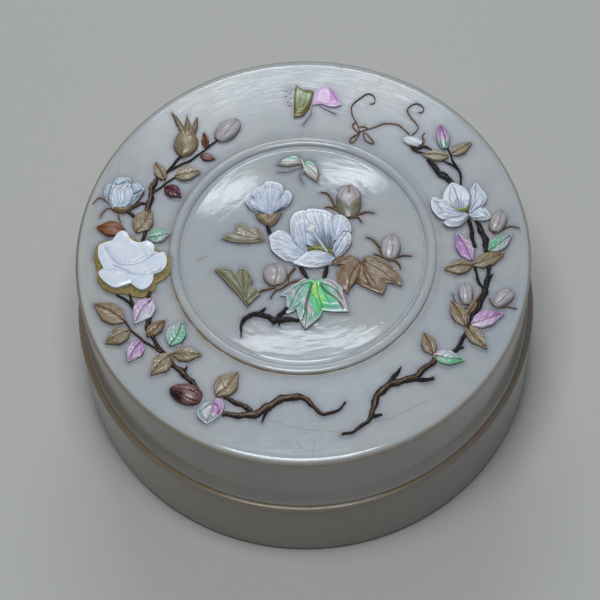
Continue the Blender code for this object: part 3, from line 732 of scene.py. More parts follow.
stem("centre_bough", (
    (((-1.5, -14.9), (-3.6, -14.7), (-5.2, -14.6), (-6.5, -14.6), (-7.5, -13.8), (-9.1, -13.1),
      (-10.7, -13.3), (-12.2, -14.0), (-12.7, -15.5), (-13.0, -17.6)),
     (0.7, 0.8, 1.2, 1.0, 0.95, 0.85, 0.8, 0.75, 0.5, 0.2), 0.22),
    (((-9.1, -13.1), (-8.4, -12.5), (-7.9, -11.9)), (0.6, 0.4, 0.12), 0.1),
    (((-5.7, -14.6), (-4.9, -13.4), (-3.6, -12.2)), (0.9, 0.8, 0.9), 0.1),
    (((-5.7, -14.4), (-6.6, -15.5)), (0.6, 0.15), 0.1),
    (((-5.5, -14.4), (-5.3, -15.8)), (0.6, 0.15), 0.1)), ["centre_branch"])
stem("upper_left_bough", (
    (((-28.2, 18.9), (-29.0, 17.0), (-29.5, 15.3), (-29.6, 14.0), (-30.0, 12.6), (-30.5, 11.0)),
     (0.7, 1.1, 1.0, 1.0, 1.3, 1.0), 0.9),), ["upper_left_stem"])
stem("left_lower_bough", (
    (((-27.0, -21.4), (-26.2, -22.9), (-24.6, -24.5), (-23.2, -26.2), (-21.8, -28.2)),
     (0.7, 0.9, 1.15, 0.9, 1.0), 0.7),
    (((-24.6, -24.5), (-23.9, -23.9), (-23.6, -23.3)), (0.6, 0.4, 0.12), 0.2)),
    ["lower_left_stem"])
stem("lower_left_bough", (
    (((-17.2, -33.7), (-13.4, -34.3), (-10.3, -34.0), (-7.8, -32.5), (-4.7, -31.2), (-1.0, -31.6),
      (0.4, -33.4), (2.5, -35.0), (4.9, -34.5), (6.8, -32.9)),
     (0.9, 1.0, 1.45, 1.35, 1.35, 1.2, 0.9, 0.6, 0.35, 0.25), 0.95),
    (((-16.8, -30.3), (-14.4, -31.6), (-11.6, -33.4)), (0.65, 0.8, 1.0), 0.8),
    (((-8.1, -33.2), (-9.0, -34.5), (-9.7, -35.8)), (0.9, 0.5, 0.2), 0.3),
    (((-2.4, -31.0), (-1.2, -31.4), (-0.2, -31.9)), (0.7, 0.5, 0.15), 0.3)),
    ["lower_left_branch"])
stem("upper_right_bough", (
    (((25.9, 19.8), (27.6, 17.0), (28.7, 15.9), (30.4, 14.0)), (0.8, 1.0, 1.3, 1.1), 0.12),),
    ["upper_right_stem"])
stem("right_upper_bough", (
    (((34.4, 5.8), (35.3, 3.6), (36.0, 1.4), (36.1, -1.6)), (0.8, 1.1, 1.2, 0.9), 0.12),
    (((33.2, 5.8), (33.5, 2.9), (33.8, -0.4)), (0.8, 0.75, 0.7), 0.15)), ["right_upper_stem"])
stem("right_middle_bough", (
    (((36.6, -4.4), (35.9, -7.6), (35.1, -10.4), (33.8, -13.4), (32.2, -16.2), (31.4, -18.2)),
     (0.8, 0.95, 1.2, 1.1, 0.9, 0.9), 0.12),
    (((33.7, -4.8), (34.0, -7.4), (35.0, -9.6)), (0.45, 0.5, 0.5), 0.15)), ["right_middle_stem"])
stem("lower_right_bough", (
    (((5.7, -39.4), (7.8, -38.9), (9.6, -37.8), (11.5, -36.0), (12.2, -33.5), (13.3, -31.3),
      (15.0, -29.8), (17.4, -28.9), (20.2, -28.2), (22.6, -26.3), (25.2, -24.2)),
     (0.22, 0.45, 0.6, 1.0, 1.35, 1.3, 1.25, 1.1, 1.15, 1.0, 1.0), 0.8),
    (((11.5, -35.9), (12.6, -35.9), (13.7, -35.8)), (0.8, 0.4, 0.15), 0.3),
    (((15.5, -29.3), (16.9, -27.3), (17.9, -25.9)), (1.0, 0.8, 0.12), 0.35),
    (((18.8, -28.6), (21.6, -28.7), (24.2, -28.6)), (1.0, 0.7, 0.45), 0.2)),
    ["lower_right_branch"])


# The twigs and flower stalks
# Thin slips of the same dark wood that join the leaves and flowers to the branches. They are
# laid in a scratched groove with glue, so they stand up less than the branches.

TWIGS = {
    "bud_twig": (((-15.9, 26.5), (-18.2, 24.7), (-21.1, 22.5), (-25.6, 20.3), (-27.6, 18.4)),
                 (0.28, 0.34, 0.42, 0.5), 0.35),
    "fruit_twig": (((-23.0, 23.6), (-24.6, 21.9), (-26.2, 19.8)), (0.6, 0.45, 0.5), 0.5),
    "upper_leaf_twig": (((-24.2, 18.9), (-26.6, 17.3), (-29.0, 15.5)), (0.3, 0.35, 0.45), 0.9),
    "peony_twig": (((-30.2, 8.6), (-31.0, 6.4), (-31.6, 4.2)), (0.9, 0.8, 0.8), 0.35),
    "left_twig_1": (((-37.0, -6.5), (-34.6, -8.5), (-33.6, -10.0)), (0.5, 0.5, 0.6), 0.1),
    "left_twig_2": (((-34.5, -6.7), (-34.0, -8.2), (-33.6, -10.0)), (0.5, 0.7, 0.5), 0.5),
    "left_twig_3": (((-30.4, -6.5), (-30.7, -8.5), (-30.6, -11.7), (-31.1, -14.2), (-30.2, -16.4),
                     (-28.8, -19.2), (-27.2, -20.8)), (0.9, 1.0, 1.25, 1.1, 0.9, 0.9, 0.8), 0.3),
    "left_twig_4": (((-35.6, -12.4), (-34.1, -14.8), (-32.1, -16.9), (-29.2, -19.3),
                     (-27.0, -20.9)), (0.35, 0.45, 0.5, 0.6), 0.9),
    "right_twig_1": (((29.8, 22.8), (30.7, 19.6), (31.5, 17.7), (32.2, 15.8), (31.8, 13.4)),
                     (0.35, 0.4, 0.5, 0.55, 0.5), 0.1),
    "right_twig_2": (((28.6, 19.4), (30.2, 18.6), (31.5, 17.3)), (0.3, 0.35, 0.4), 0.1),
    "right_twig_3": (((31.4, -18.4), (30.2, -20.4), (29.0, -22.4), (27.2, -24.2)),
                     (0.9, 0.85, 1.0, 0.8), 0.15),
    "right_twig_4": (((28.9, -22.0), (29.8, -22.2), (30.4, -22.0)), (0.6, 0.4, 0.15), 0.1),
    "far_leaf_twig": (((34.2, -11.8), (35.6, -9.6), (37.0, -6.4)), (0.35, 0.3, 0.3), 0.2),
    "fan_stalk": (((-6.7, 6.6), (-6.5, 5.1), (-5.9, 3.6)), (0.8, 0.8, 0.9), 0.1),
    "maple_stalk_1": (((-0.8, -2.8), (-0.1, -4.4), (0.7, -6.4)), (0.95, 0.9, 0.8), 0.12),
    "maple_stalk_2": (((4.6, -3.0), (4.3, -4.6), (3.9, -6.4)), (0.95, 0.9, 0.85), 0.12),
}
for name, (points, widths, light) in TWIGS.items():
    stem(name, ((points, [width * 0.85 for width in widths], light),), [], 0.6, 0.5)


# The tendrils, bracts and antennae
# Hair-thin brown wood or horn, curled and pressed into scratched lines around the buds. The
# antennae and the legs of the insect are only engraved and filled with grey wax.

brown_thread = polished("brown_thread", (
    (0.0, (0.1, 0.045, 0.015)), (1.0, (0.4, 0.21, 0.07))), 0.4, wander=0.6, edge_share=0.0,
    coat=0.0, glue_and_side_shade=(0.19, 0.13, 0.08))
grey_line = polished("grey_line", (
    (0.0, (0.16, 0.15, 0.17)), (1.0, (0.24, 0.23, 0.23))), 0.4, wander=0.6, edge_share=0.0,
    glue_and_side_shade=(0.3, 0.3, 0.33))
THREADS = {
    "tendril_1": ((15.0, 33.3), (15.9, 33.5), (16.1, 34.6), (15.6, 35.5), (14.4, 35.7),
                  (12.8, 34.5), (11.5, 33.2), (11.2, 31.8), (11.6, 30.1), (12.2, 28.5),
                  (12.7, 26.8)),
    "tendril_2": ((11.4, 25.6), (12.7, 26.7), (14.2, 27.3), (15.9, 27.8), (17.7, 28.5),
                  (19.6, 28.3), (20.9, 27.7), (22.5, 25.7)),
    "tendril_3": ((24.6, 31.0), (25.3, 30.9), (25.7, 31.8), (25.1, 32.8), (24.1, 33.1),
                  (23.0, 32.4), (22.4, 31.5), (22.9, 30.0), (23.8, 28.7), (24.3, 27.4),
                  (23.9, 26.4), (23.0, 25.5)),
    "tendril_leaf_1": ((12.6, 26.5), (11.3, 25.8), (10.6, 24.8), (11.1, 24.4), (11.9, 25.2),
                       (12.6, 26.5)),
    "tendril_leaf_2": ((13.3, 26.5), (14.1, 26.1), (15.2, 24.3), (14.8, 24.0), (13.6, 24.9),
                       (13.3, 26.5)),
    "tendril_leaf_3": ((12.1, 29.2), (11.3, 28.5), (11.6, 27.5), (12.6, 26.6)),
    "tendril_leaf_4": ((12.5, 27.9), (13.5, 27.9), (14.4, 27.4)),
    "white_bud_bract": ((25.6, 26.0), (25.1, 25.2), (25.3, 24.1), (24.7, 23.2)),
    "peony_bract_1": ((-41.2, 14.3), (-40.4, 15.3), (-39.6, 15.5), (-38.5, 14.6)),
    "peony_bract_2": ((-39.8, 11.0), (-39.1, 12.2), (-38.3, 12.9), (-37.3, 12.7)),
    "peony_bract_3": ((-36.1, 11.9), (-36.1, 10.5), (-35.6, 9.4)),
    "far_bud_bract_1": ((41.4, -14.0), (39.6, -13.5), (38.0, -13.7), (36.6, -13.2)),
    "far_bud_bract_2": ((36.0, -11.6), (36.3, -12.6), (36.9, -13.4)),
    "right_bud_bract": ((37.3, 5.4), (37.0, 3.8), (37.8, 2.7), (38.6, 2.7)),
    "right_bud_bract_2": ((43.0, 3.9), (41.2, 4.2), (39.6, 3.4), (38.4, 2.6)),
    "near_bud_bract": ((28.9, -10.6), (29.4, -12.4), (30.6, -13.6), (32.0, -13.4),
                       (32.9, -11.8)),
}
for name, points in THREADS.items():
    ends = (0.16, 0.25, 0.26, 0.26, 0.2)
    thread = carve(name, thin_blank(60, 6), stem_form(points, ends, 0.22, 0.35),
                   play=lambda u, v, x, y: 0.4 + 0.4 * v, lift=-0.18)
    fitted(thread, "brown_horn", brown_thread)
BROAD_BRACTS = {
    "peony_bract_4": (((-35.6, 11.9), (-34.2, 11.7), (-33.1, 10.7), (-32.3, 10.0)),
                      (0.5, 0.7, 0.8, 0.6)),
    "peony_bract_5": (((-33.6, 12.3), (-32.3, 13.0), (-31.4, 13.3), (-30.0, 12.9)),
                      (0.5, 0.8, 0.6, 0.4)),
    "white_bud_leaf_1": (((22.5, 23.3), (23.0, 22.2), (24.4, 21.4), (25.6, 21.3)),
                         (0.25, 0.5, 0.5, 0.3)),
    "white_bud_leaf_2": (((24.2, 22.9), (25.6, 22.7), (26.8, 21.9)), (0.9, 0.6, 0.2)),
    "white_bud_leaf_3": (((22.8, 23.0), (23.8, 22.4), (24.8, 22.5)), (0.5, 0.6, 0.5)),
}
for name, (points, widths) in BROAD_BRACTS.items():
    stem(name, ((points, [width * 0.8 for width in widths], 0.6),), [], 0.4, 0.4)
INKED = {
    "insect_leg_1": ((3.5, 33.7), (3.3, 32.4), (2.9, 31.2), (1.4, 29.0)),
    "insect_leg_2": ((4.8, 33.6), (5.5, 32.8), (6.5, 32.2), (8.0, 31.2)),
    "antenna_left": ((-4.1, 18.4), (-2.1, 18.3), (-0.4, 18.8), (0.7, 19.2)),
    "antenna_right": ((0.7, 19.2), (0.3, 17.3), (0.5, 16.3), (0.9, 15.4)),
}
for name, points in INKED.items():
    thread = carve(name, thin_blank(40, 6), stem_form(points, (0.14, 0.16, 0.1), 0.16, 0.2),
                   lift=-0.24)
    fitted(thread, "brown_horn", grey_line)


# The plain leaves
# Slips of tan and brown horn, amber and dark red stuff, each with a raised edge, two rounded
# halves and an incised midrib that is darkened with brown.

LEAF_HEIGHT = 0.9
TIP_WIDTH = 0.12
LEAF_BELLY = 0.85


def leaf_width(width, share):
    """Half width of a leaf at a share of its length from the stalk."""
    share = np.clip(share, 0, 1)
    return TIP_WIDTH + (width / 2 - TIP_WIDTH) * np.sin(math.pi * share ** LEAF_BELLY)


def leaf_form(base, tip, width, bow=0.0, lean=0.0):
    """A leaf from its stalk end to its tip. It bows to its left and leans to one side."""
    length, along_x, along_y = way_to(base, tip)

    def form(u, v):
        curve = 4 * bow * u * (1 - u)
        side = leaf_width(width, u) * v * (1 + 0.035 * np.sin(u * 19 + v * 3))
        x = base[0] + along_x * length * u - along_y * curve + along_y * side
        y = base[1] + along_y * length * u + along_x * curve - along_x * side
        across = np.abs(v)
        halves = 0.6 + 0.22 * np.sin(math.pi * across) + 0.1 * near_line(across, 0.84, 0.14)
        halves = halves * (1 + lean * v)
        rise = GLUE_GAP + LEAF_HEIGHT * halves * (0.6 + 0.4 * np.sin(math.pi * u))
        return x, y, np.minimum(rise, GLUE_GAP + LEAF_HEIGHT)
    return form


def drawn_on(form, us, vs):
    """A line on a piece, given by its u and v."""
    return np.column_stack(form(np.array(us, float), np.array(vs, float))[:2])


def leaf_cuts(form, veins=3):
    """The midrib, the side veins and a line inside the edge."""
    ribs = np.linspace(0.0, 0.93, 14)
    cuts = [(drawn_on(form, ribs, 0.14 * np.sin(ribs * 3.1)), 0.13, 0.12, 1.0)]
    for i in range(veins):
        start = 0.1 + 0.58 * i / max(veins - 1, 1)
        for side in (-1, 1):
            reach = np.linspace(0, 1, 6)
            vein = drawn_on(form, start + 0.26 * reach, side * 0.7 * reach)
            cuts.append((vein, 0.08, 0.07, 0.42))
    edge = np.linspace(0.08, 0.92, 14)
    for side in (0.68, -0.7):
        cuts.append((drawn_on(form, edge, side + 0 * edge), 0.1, 0.06, 0.38))
    return cuts


def side_veins(u, v):
    """Streaks that slant back from the midrib."""
    return (u + 0.06 - 0.22 * np.abs(v)) * 34


def carved_leaf(name, form, veins=3, play=0.5):
    """A leaf carved to its form, with its veins."""
    return carve(name, thin_blank(44, 26), form, leaf_cuts(form, veins), play, streak=side_veins)


def leaf(node_name, finish, slot, base, tip, width, bow=0.0, lean=0.12, play=0.5, veins=3):
    """A leaf in its finish, set in place of its plain solid."""
    piece = carved_leaf(node_name + "_carved", leaf_form(base, tip, width, bow, lean), veins, play)
    return fitted(piece, slot, finish, node_name)


tan_horn = polished("tan_horn", (
    (0.0, (0.21, 0.135, 0.065)), (0.5, (0.355, 0.27, 0.165)), (1.0, (0.5, 0.44, 0.32))), 0.3,
    grain=0.8, wander=0.5, cut=(0.15, 0.065, 0.025), edge=(0.26, 0.17, 0.09), edge_share=0.4,
    streaks=0.4, coat=0.25)
brown_horn = polished("brown_horn", (
    (0.0, (0.19, 0.09, 0.035)), (0.5, (0.33, 0.235, 0.15)), (1.0, (0.46, 0.39, 0.29))), 0.3,
    grain=0.7, wander=0.5, cut=(0.16, 0.055, 0.018), edge=(0.24, 0.13, 0.055), edge_share=0.45,
    streaks=0.35, coat=0.3)
amber = polished("amber", (
    (0.0, (0.15, 0.035, 0.008)), (0.5, (0.35, 0.14, 0.05)), (0.8, (0.36, 0.24, 0.17)),
    (1.0, (0.42, 0.36, 0.38))), 0.34,
    grain=0.8, wander=0.35, cut=(0.14, 0.035, 0.012), edge=(0.26, 0.09, 0.03), edge_share=0.5,
    coat=0.0)
dark_red = polished("dark_red", (
    (0.0, (0.055, 0.012, 0.02)), (0.6, (0.16, 0.04, 0.05)), (1.0, (0.28, 0.13, 0.14))), 0.2,
    grain=0.8, wander=0.5, cut=(0.03, 0.006, 0.01), edge=(0.2, 0.09, 0.08), coat=0.25)
TAN_LEAVES = {
    "upper_left_tan_leaf": ((-24.6, 18.7), (-19.5, 19.3), 3.1, 0.3, -0.15, 0.65),
    "small_tan_leaf": ((-26.6, 18.2), (-28.4, 22.2), 2.2, 0.1, 0.1, 0.75),
    "left_tan_leaf_1": ((-32.7, 6.7), (-29.5, 11.5), 4.0, 0.0, -0.15, 0.5),
    "left_tan_leaf_2": ((-35.5, -12.7), (-41.4, -8.3), 3.9, 0.0, 0.15, 0.5),
    "left_tan_leaf_3": ((-34.5, -14.7), (-39.5, -16.8), 3.4, 0.0, -0.1, 0.4),
    "left_tan_leaf_4": ((-18.3, -30.0), (-13.8, -25.4), 4.4, 0.0, 0.15, 0.55),
    "right_tan_leaf_1": ((30.0, 20.2), (24.8, 20.7), 2.4, 0.0, 0.1, 0.95),
    "right_tan_leaf_2": ((30.4, 20.6), (34.7, 23.3), 2.2, 0.0, -0.1, 0.9),
    "right_tan_leaf_3": ((24.3, -23.6), (22.7, -18.9), 2.9, 0.0, 0.1, 0.5),
}
for name, (base, tip, width, bow, lean, play) in TAN_LEAVES.items():
    leaf(name, tan_horn, "tan_horn", base, tip, width, bow, lean, play)
leaf("brown_leaf", brown_horn, "brown_horn", (-31.4, -16.2), (-27.6, -13.2), 2.6, 0, 0.1, 0.35)
leaf("amber_leaf", amber, "amber", (-34.9, 7.5), (-40.5, 8.7), 3.2, 0, -0.1, lambda u, v, x, y:
     0.25 + 0.7 * np.exp(-((u - 0.5) / 0.22) ** 2 - ((v - 0.1) / 0.4) ** 2), 0)
leaf("dark_red_leaf", dark_red, "dark_red", (-26.8, 16.4), (-23.5, 14.0), 2.6, 0.2, 0.1)
LEAF_PAIRS = {
    "left_tan_leaf_pair": ((-30.8, -24.4), (-26.4, -20.5), (-20.8, -21.1), 3.6, 3.0),
    "right_tan_leaf_pair_1": ((27.6, -5.2), (33.1, -4.6), (39.5, -2.1), 3.0, 2.8),
    "right_tan_leaf_pair_2": ((28.5, -12.2), (31.0, -17.7), (34.8, -22.5), 2.9, 2.9),
}
for name, (tip, waist, other_tip, width, other_width) in LEAF_PAIRS.items():
    halves = []
    for end, size, lean in ((tip, width, 0.15), (other_tip, other_width, -0.12)):
        halves.append(carved_leaf(name, leaf_form(waist, end, size, 0.0, lean)))
    fitted(joined(name + "_carved", halves), "tan_horn", tan_horn, name)
TINY_LEAVES = {
    "tiny_red_leaf_1": ((-18.1, 24.7), (-18.5, 28.5), 1.4, amber, "amber", 0.15),
    "tiny_red_leaf_2": ((-19.4, 23.2), (-16.5, 22.2), 1.7, amber, "amber",
                        lambda u, v, x, y: 1.1 - 1.2 * np.abs(v) ** 1.5 - np.abs(2 * u - 1) ** 3),
    "small_side_leaf": ((31.6, -15.0), (34.6, -10.7), 1.5, tan_horn, "tan_horn", 0.35),
}
for name, (base, tip, width, finish, slot, play) in TINY_LEAVES.items():
    form = leaf_form(base, tip, width)
    tiny = carve(name, thin_blank(24, 12), form, leaf_cuts(form, 1), play, lift=-0.35)
    fitted(tiny, slot, finish)


# The shell leaves
# Slips of green and pink shell whose colour runs from one hue to the next along the leaf.
# Their midrib and side veins are engraved and filled with dark wax.

green_shell = polished("green_shell", (
    (0.0, (0.76, 0.5, 0.64)), (0.14, (0.72, 0.7, 0.74)), (0.3, (0.5, 0.66, 0.58)),
    (0.46, (0.24, 0.6, 0.44)), (0.62, (0.1, 0.72, 0.32)), (0.8, (0.26, 0.84, 0.2)),
    (1.0, (0.62, 0.86, 0.22))), 0.24, grain=1.3, wander=0.34, cut=(0.09, 0.055, 0.03),
    edge=(0.84, 0.76, 0.8), edge_share=0.3, coat=0.3, streaks=0.45)
pink_shell = polished("pink_shell", (
    (0.0, (0.36, 0.18, 0.52)), (0.3, (0.66, 0.32, 0.68)), (0.55, (0.8, 0.56, 0.78)),
    (0.75, (0.82, 0.78, 0.86)), (1.0, (0.3, 0.66, 0.48))), 0.24,
    grain=1.3, wander=0.45, cut=(0.14, 0.07, 0.09), edge=(0.86, 0.74, 0.84), edge_share=0.4,
    coat=0.3, streaks=0.4)
SHELL_LEAVES = {
    "left_green_leaf_1": (green_shell, (-30.4, 5.2), (-26.1, 5.9), 2.9, (0.5, 0.28, -0.12)),
    "left_green_leaf_2": (green_shell, (-26.8, -18.7), (-24.2, -13.7), 3.8, (0.44, 0.3, 0.16)),
    "right_green_leaf_1": (green_shell, (36.6, -1.5), (41.4, 2.2), 2.8, (0.5, 0.2, -0.18)),
    "right_green_leaf_2": (green_shell, (24.2, -23.8), (30.2, -24.9), 2.9, (0.16, 0.5, 0.24)),
    "left_pink_leaf_1": (pink_shell, (-30.0, -8.3), (-33.6, -13.3), 4.2, (0.55, 0.74, -0.15)),
    "left_pink_leaf_2": (pink_shell, (-32.4, -17.3), (-35.1, -21.2), 3.2, (0.3, 0.62, 0.1)),
    "right_pink_leaf_1": (pink_shell, (33.1, -3.5), (30.5, 2.6), 3.1, (0.45, 0.35, 0.2)),
    "right_pink_leaf_2": (pink_shell, (31.8, -17.4), (38.6, -15.0), 3.2, (0.62, 0.34, 0.16)),
}
for name, (finish, base, tip, width, (first, last, side)) in SHELL_LEAVES.items():
    play = (lambda u, v, x, y, first=first, last=last, side=side:
            first + (last - first) * u + side * v + 0.1 * np.sin(u * 26 + v * 7))
    slot = "green_shell" if finish is green_shell else "pink_shell"
    leaf(name, finish, slot, base, tip, width, play=play, veins=4)


# The buds
# Plump drops of pale horn and shell, carved with the lines of folded petals. Each is let into
# the lid and glued, with thin brown bracts at its foot.

BUD_HEIGHT = 1.3


def bud_form(base, tip, width, height=BUD_HEIGHT, blunt=0.5):
    """A plump bud, widest below its middle. The lower its blunt, the squarer its ends."""
    length, along_x, along_y = way_to(base, tip)

    def form(u, v):
        inset = 0.03 + 0.96 * np.clip(u, 0, 1)
        half = width / 2 * np.clip(np.sin(math.pi * inset ** (0.8 + 0.4 * (0.5 - blunt) / 0.2)),
                                   0, 1) ** blunt
        side = half * v
        x = base[0] + along_x * length * u + along_y * side
        y = base[1] + along_y * length * u - along_x * side
        round_over = np.sqrt(np.clip(1 - 0.9 * np.abs(v) ** 2.3, 0, 1))
        rise = GLUE_GAP + height * round_over * (0.45 + 0.55 * np.sin(math.pi * inset))
        return x, y, np.minimum(rise, GLUE_GAP + height)
    return form


def long_veins(u, v):
    """Streaks that run from the stalk to the tip."""
    return v * 19 + 0.8


def bud_cuts(form, dark=0.75):
    """The edges of the petals that wrap over each other."""
    cuts = []
    for start, bend, end in ((-0.75, -0.55, -0.05), (0.7, 0.15, -0.12), (0.2, 0.5, 0.1)):
        u = np.linspace(0.06, 0.97, 14)
        v = start * (1 - u) + end * u + (bend - (start + end) / 2) * 4 * u * (1 - u) * 0.5
        cuts.append((drawn_on(form, u, v), 0.11, 0.12, dark))
    return cuts


pale_horn = polished("pale_horn", (
    (0.0, (0.2, 0.2, 0.12)), (0.25, (0.35, 0.32, 0.25)), (0.6, (0.5, 0.45, 0.44)),
    (1.0, (0.6, 0.55, 0.58))), 0.32, grain=0.8, wander=0.35, cut=(0.16, 0.085, 0.045),
    edge=(0.28, 0.2, 0.13), edge_share=0.5, coat=0.25, streaks=0.12)
white_shell = polished("white_shell", (
    (0.0, (0.27, 0.33, 0.47)), (0.35, (0.56, 0.63, 0.79)), (0.7, (0.83, 0.88, 0.98)),
    (1.0, (0.95, 0.97, 1.0))), 0.26, grain=0.8, wander=0.35, cut=(0.09, 0.11, 0.18),
    edge=(0.9, 0.94, 1.0), edge_share=0.5, coat=0.15, relief=0.2, streaks=0.75)
BUDS = {
    "round_bud": (pale_horn, "pale_horn", (9.5, 7.0), (9.7, 14.2), 4.9, 0.05, 0.85, 0.3),
    "right_bud": (pale_horn, "pale_horn", (16.9, -2.6), (17.8, 2.6), 3.8, 0.7, 0.9, 0.4),
    "left_bud": (pale_horn, "pale_horn", (-5.2, -7.2), (-6.0, -2.7), 4.7, 0.6, 0.7, 0.35),
    "upper_left_bud": (pale_horn, "pale_horn", (-15.9, 26.6), (-11.5, 30.8), 3.9, 0.6, 0.85, 0.4),
    "white_bud": (white_shell, "white_shell", (24.8, 23.3), (21.3, 24.6), 2.0, 1.0, 1.0, 0.42),
    "rainbow_bud": (pink_shell, "pink_shell", (29.4, 22.1), (28.8, 27.5), 2.5, 1.05, 0.25, 0.42),
    "right_bud_1": (pale_horn, "pale_horn", (37.8, 2.9), (40.0, 7.3), 3.1, 0.6, 0.8, 0.4),
    "right_bud_2": (pale_horn, "pale_horn", (31.5, -13.1), (31.5, -8.6), 2.8, 0.75, 1.0, 0.3),
    "right_bud_3": (pale_horn, "pale_horn", (36.9, -13.4), (40.6, -10.3), 2.7, 0.75, 1.0, 0.3),
}


def sepalled(u, v, x, y):
    """Olive sepals that meet in a notch over the pale petals."""
    return 0.06 + 0.74 * eased((u - 0.24 - 0.36 * np.abs(v)) / 0.08) + 0.05 * np.sin(v * 11)


def sepal_edges(form):
    """The edge of the sepals, and the fold at the top of the petals."""
    v = np.linspace(-0.9, 0.9, 15)
    return [(drawn_on(form, 0.27 + 0.36 * np.abs(v), v), 0.12, 0.1, 0.5),
            (drawn_on(form, (0.99, 0.88, 0.74), (0.0, 0.1, 0.06)), 0.18, 0.12, 0.9),
            (drawn_on(form, (0.93, 0.75, 0.5), (-0.3, -0.6, -0.72)), 0.12, 0.08, 0.4),
            (drawn_on(form, (0.95, 0.8, 0.6), (0.3, 0.55, 0.7)), 0.12, 0.08, 0.35)]


for name, (finish, slot, base, tip, width, first, last, blunt) in BUDS.items():
    form = bud_form(base, tip, width, 0.8 if name == "white_bud" else BUD_HEIGHT, blunt)
    play = (lambda u, v, x, y, first=first, last=last:
            first + (last - first) * eased(u * 1.8 - 0.3 * np.abs(v)) + 0.06 * np.sin(v * 9 + u * 4))
    folds = bud_cuts(form, 0.75 if finish is pink_shell else 0.38)
    if name == "white_bud":
        play = lambda u, v, x, y: 0.96 + 0.04 * u
        folds = folds[:1]
    if name == "left_bud":
        folds = [(drawn_on(form, (0.98, 0.7, 0.35, 0.05), (0.1, 0.25, 0.1, -0.5)), 0.14, 0.14, 0.6)]
    if name == "round_bud":
        play, folds = sepalled, sepal_edges(form)
    piece = carve(name + "_carved", thin_blank(40, 30), form, folds, play,
                  streak=0.0 if name == "white_bud" else long_veins)
    fitted(piece, slot, finish, name)

red_stone = polished("red_stone", (
    (0.0, (0.012, 0.01, 0.016)), (0.35, (0.06, 0.018, 0.018)), (0.7, (0.17, 0.055, 0.045)),
    (1.0, (0.3, 0.16, 0.15))), 0.32, grain=0.7, wander=0.5, cut=(0.03, 0.008, 0.01),
    edge=(0.1, 0.03, 0.03), coat=0.1, streaks=0.5)
form = bud_form((-21.2, -30.2), (-27.2, -27.9), 4.2)
piece = carve("red_bud_carved", thin_blank(40, 30), form, bud_cuts(form),
              lambda u, v, x, y: 0.82 + 0.14 * np.sin(v * 15 + u * 3)
              - 0.6 * eased((u - 0.45) / 0.2) * eased((0.1 - v) / 0.5), streak=long_veins)
fitted(piece, "red_stone", red_stone, "red_bud")
BRACTS = {
    "round_bud_bract_1": ((4.3, 13.2), (5.5, 12.7), (6.4, 11.1), (7.0, 9.0)),
    "round_bud_bract_2": ((4.9, 9.6), (6.0, 9.6), (7.5, 8.8)),
    "round_bud_bract_3": ((14.5, 7.9), (12.9, 8.2), (11.2, 7.7), (9.9, 7.2)),
    "round_bud_bract_4": ((11.9, 6.0), (11.2, 7.1), (9.9, 7.3)),
    "right_bud_bract_1": ((12.7, 2.5), (13.8, 2.0), (14.9, 0.7), (15.4, -0.9)),
    "right_bud_bract_2": ((14.0, -1.3), (15.3, -1.7), (16.9, -2.7)),
    "right_bud_bract_3": ((21.3, -1.9), (19.5, -1.8), (17.8, -2.2), (16.6, -2.7)),
    "right_bud_bract_4": ((18.9, -4.8), (18.9, -4.0), (18.1, -2.9), (16.8, -2.7)),
    "left_bud_bract_1": ((-10.0, -9.3), (-8.6, -8.2), (-7.2, -7.8), (-5.6, -7.5)),
    "left_bud_bract_2": ((-6.8, -9.8), (-5.8, -8.4), (-4.5, -7.8), (-2.7, -6.7), (-0.1, -6.1)),
    "left_bud_bract_3": ((-3.2, -6.4), (-2.8, -4.9), (-1.7, -3.6)),
}
for name, points in BRACTS.items():
    form = stem_form(points, (0.22, 0.42, 0.5), 0.32, 0.2)
    fitted(carve(name, thin_blank(36, 6), form, play=0.25, lift=-0.12), "brown_horn", brown_thread)


# The hibiscus
# The largest flower, in the middle: six cupped petals of white shell that overlap, veined
# with fine engraved lines, round a white pistil and an olive-green throat.

FLOWER_HEIGHT = 1.5


def petal_form(base, edge, lift, levels):
    """A petal from its base out to a drawn edge, cupped along its length."""
    line = smooth_line(edge)
    dip, peak, peak_at, end = levels

    def form(u, v):
        edge_x, edge_y = along_line(line, (v + 1) / 2)
        u = np.clip(u, 0, 1.02)
        x = base[0] + (edge_x - base[0]) * u
        y = base[1] + (edge_y - base[1]) * u
        level = swell(u, dip, peak, peak_at, end) * (1 - 0.25 * np.abs(v) ** 3)
        level = level + 0.04 * u * u * np.cos(v * 7 + base[0])
        return x, y, GLUE_GAP + FLOWER_HEIGHT * np.clip(level, 0.08, 1.0) + lift
    return form


def petal_cuts(form, veins):
    """Veins that spread from the base, each a little shorter than the last."""
    cuts = []
    for i in range(veins):
        v = -0.88 + 1.76 * (i + 0.5) / veins
        u = np.linspace(0.12, 0.92 - 0.12 * (i % 2), 8)
        cuts.append((drawn_on(form, u, v * (0.86 + 0.14 * u)), 0.06, 0.05, 0.55))
    return cuts


CUPPED = (0.5, 1.0, 0.7, 0.52)


def flower(node_name, petals, finish, slot, fine=6.5):
    """A flower in its finish, from its lowest petal to its top one.

    Each petal has its base, its edge, its lift, its veins, its play, its extra lines and, if
    they differ, its levels. A line of painted shadow marks where a later petal lies over it.
    """
    parts = []
    for i, (base, edge, lift, veins, play, lines, *own) in enumerate(petals):
        form = petal_form(base, edge, lift, own[0] if own else CUPPED)
        cuts = petal_cuts(form, veins)
        cuts += [(smooth_line(line, 8), 0.1, 0.07, 0.85) for line in lines]
        # Painted shadow along the edge of each petal that lies over this one
        cuts += [(smooth_line(above[1], 6), 0.2, 0.0, 0.85) for above in petals[i + 1:]]
        parts.append(carve(node_name, thin_blank(40, 52), form, cuts, play,
                           streak=lambda u, v, turns=veins * fine: 1.0 + (v + 1) * turns))
    return fitted(joined(node_name + "_carved", parts), slot, finish, node_name)


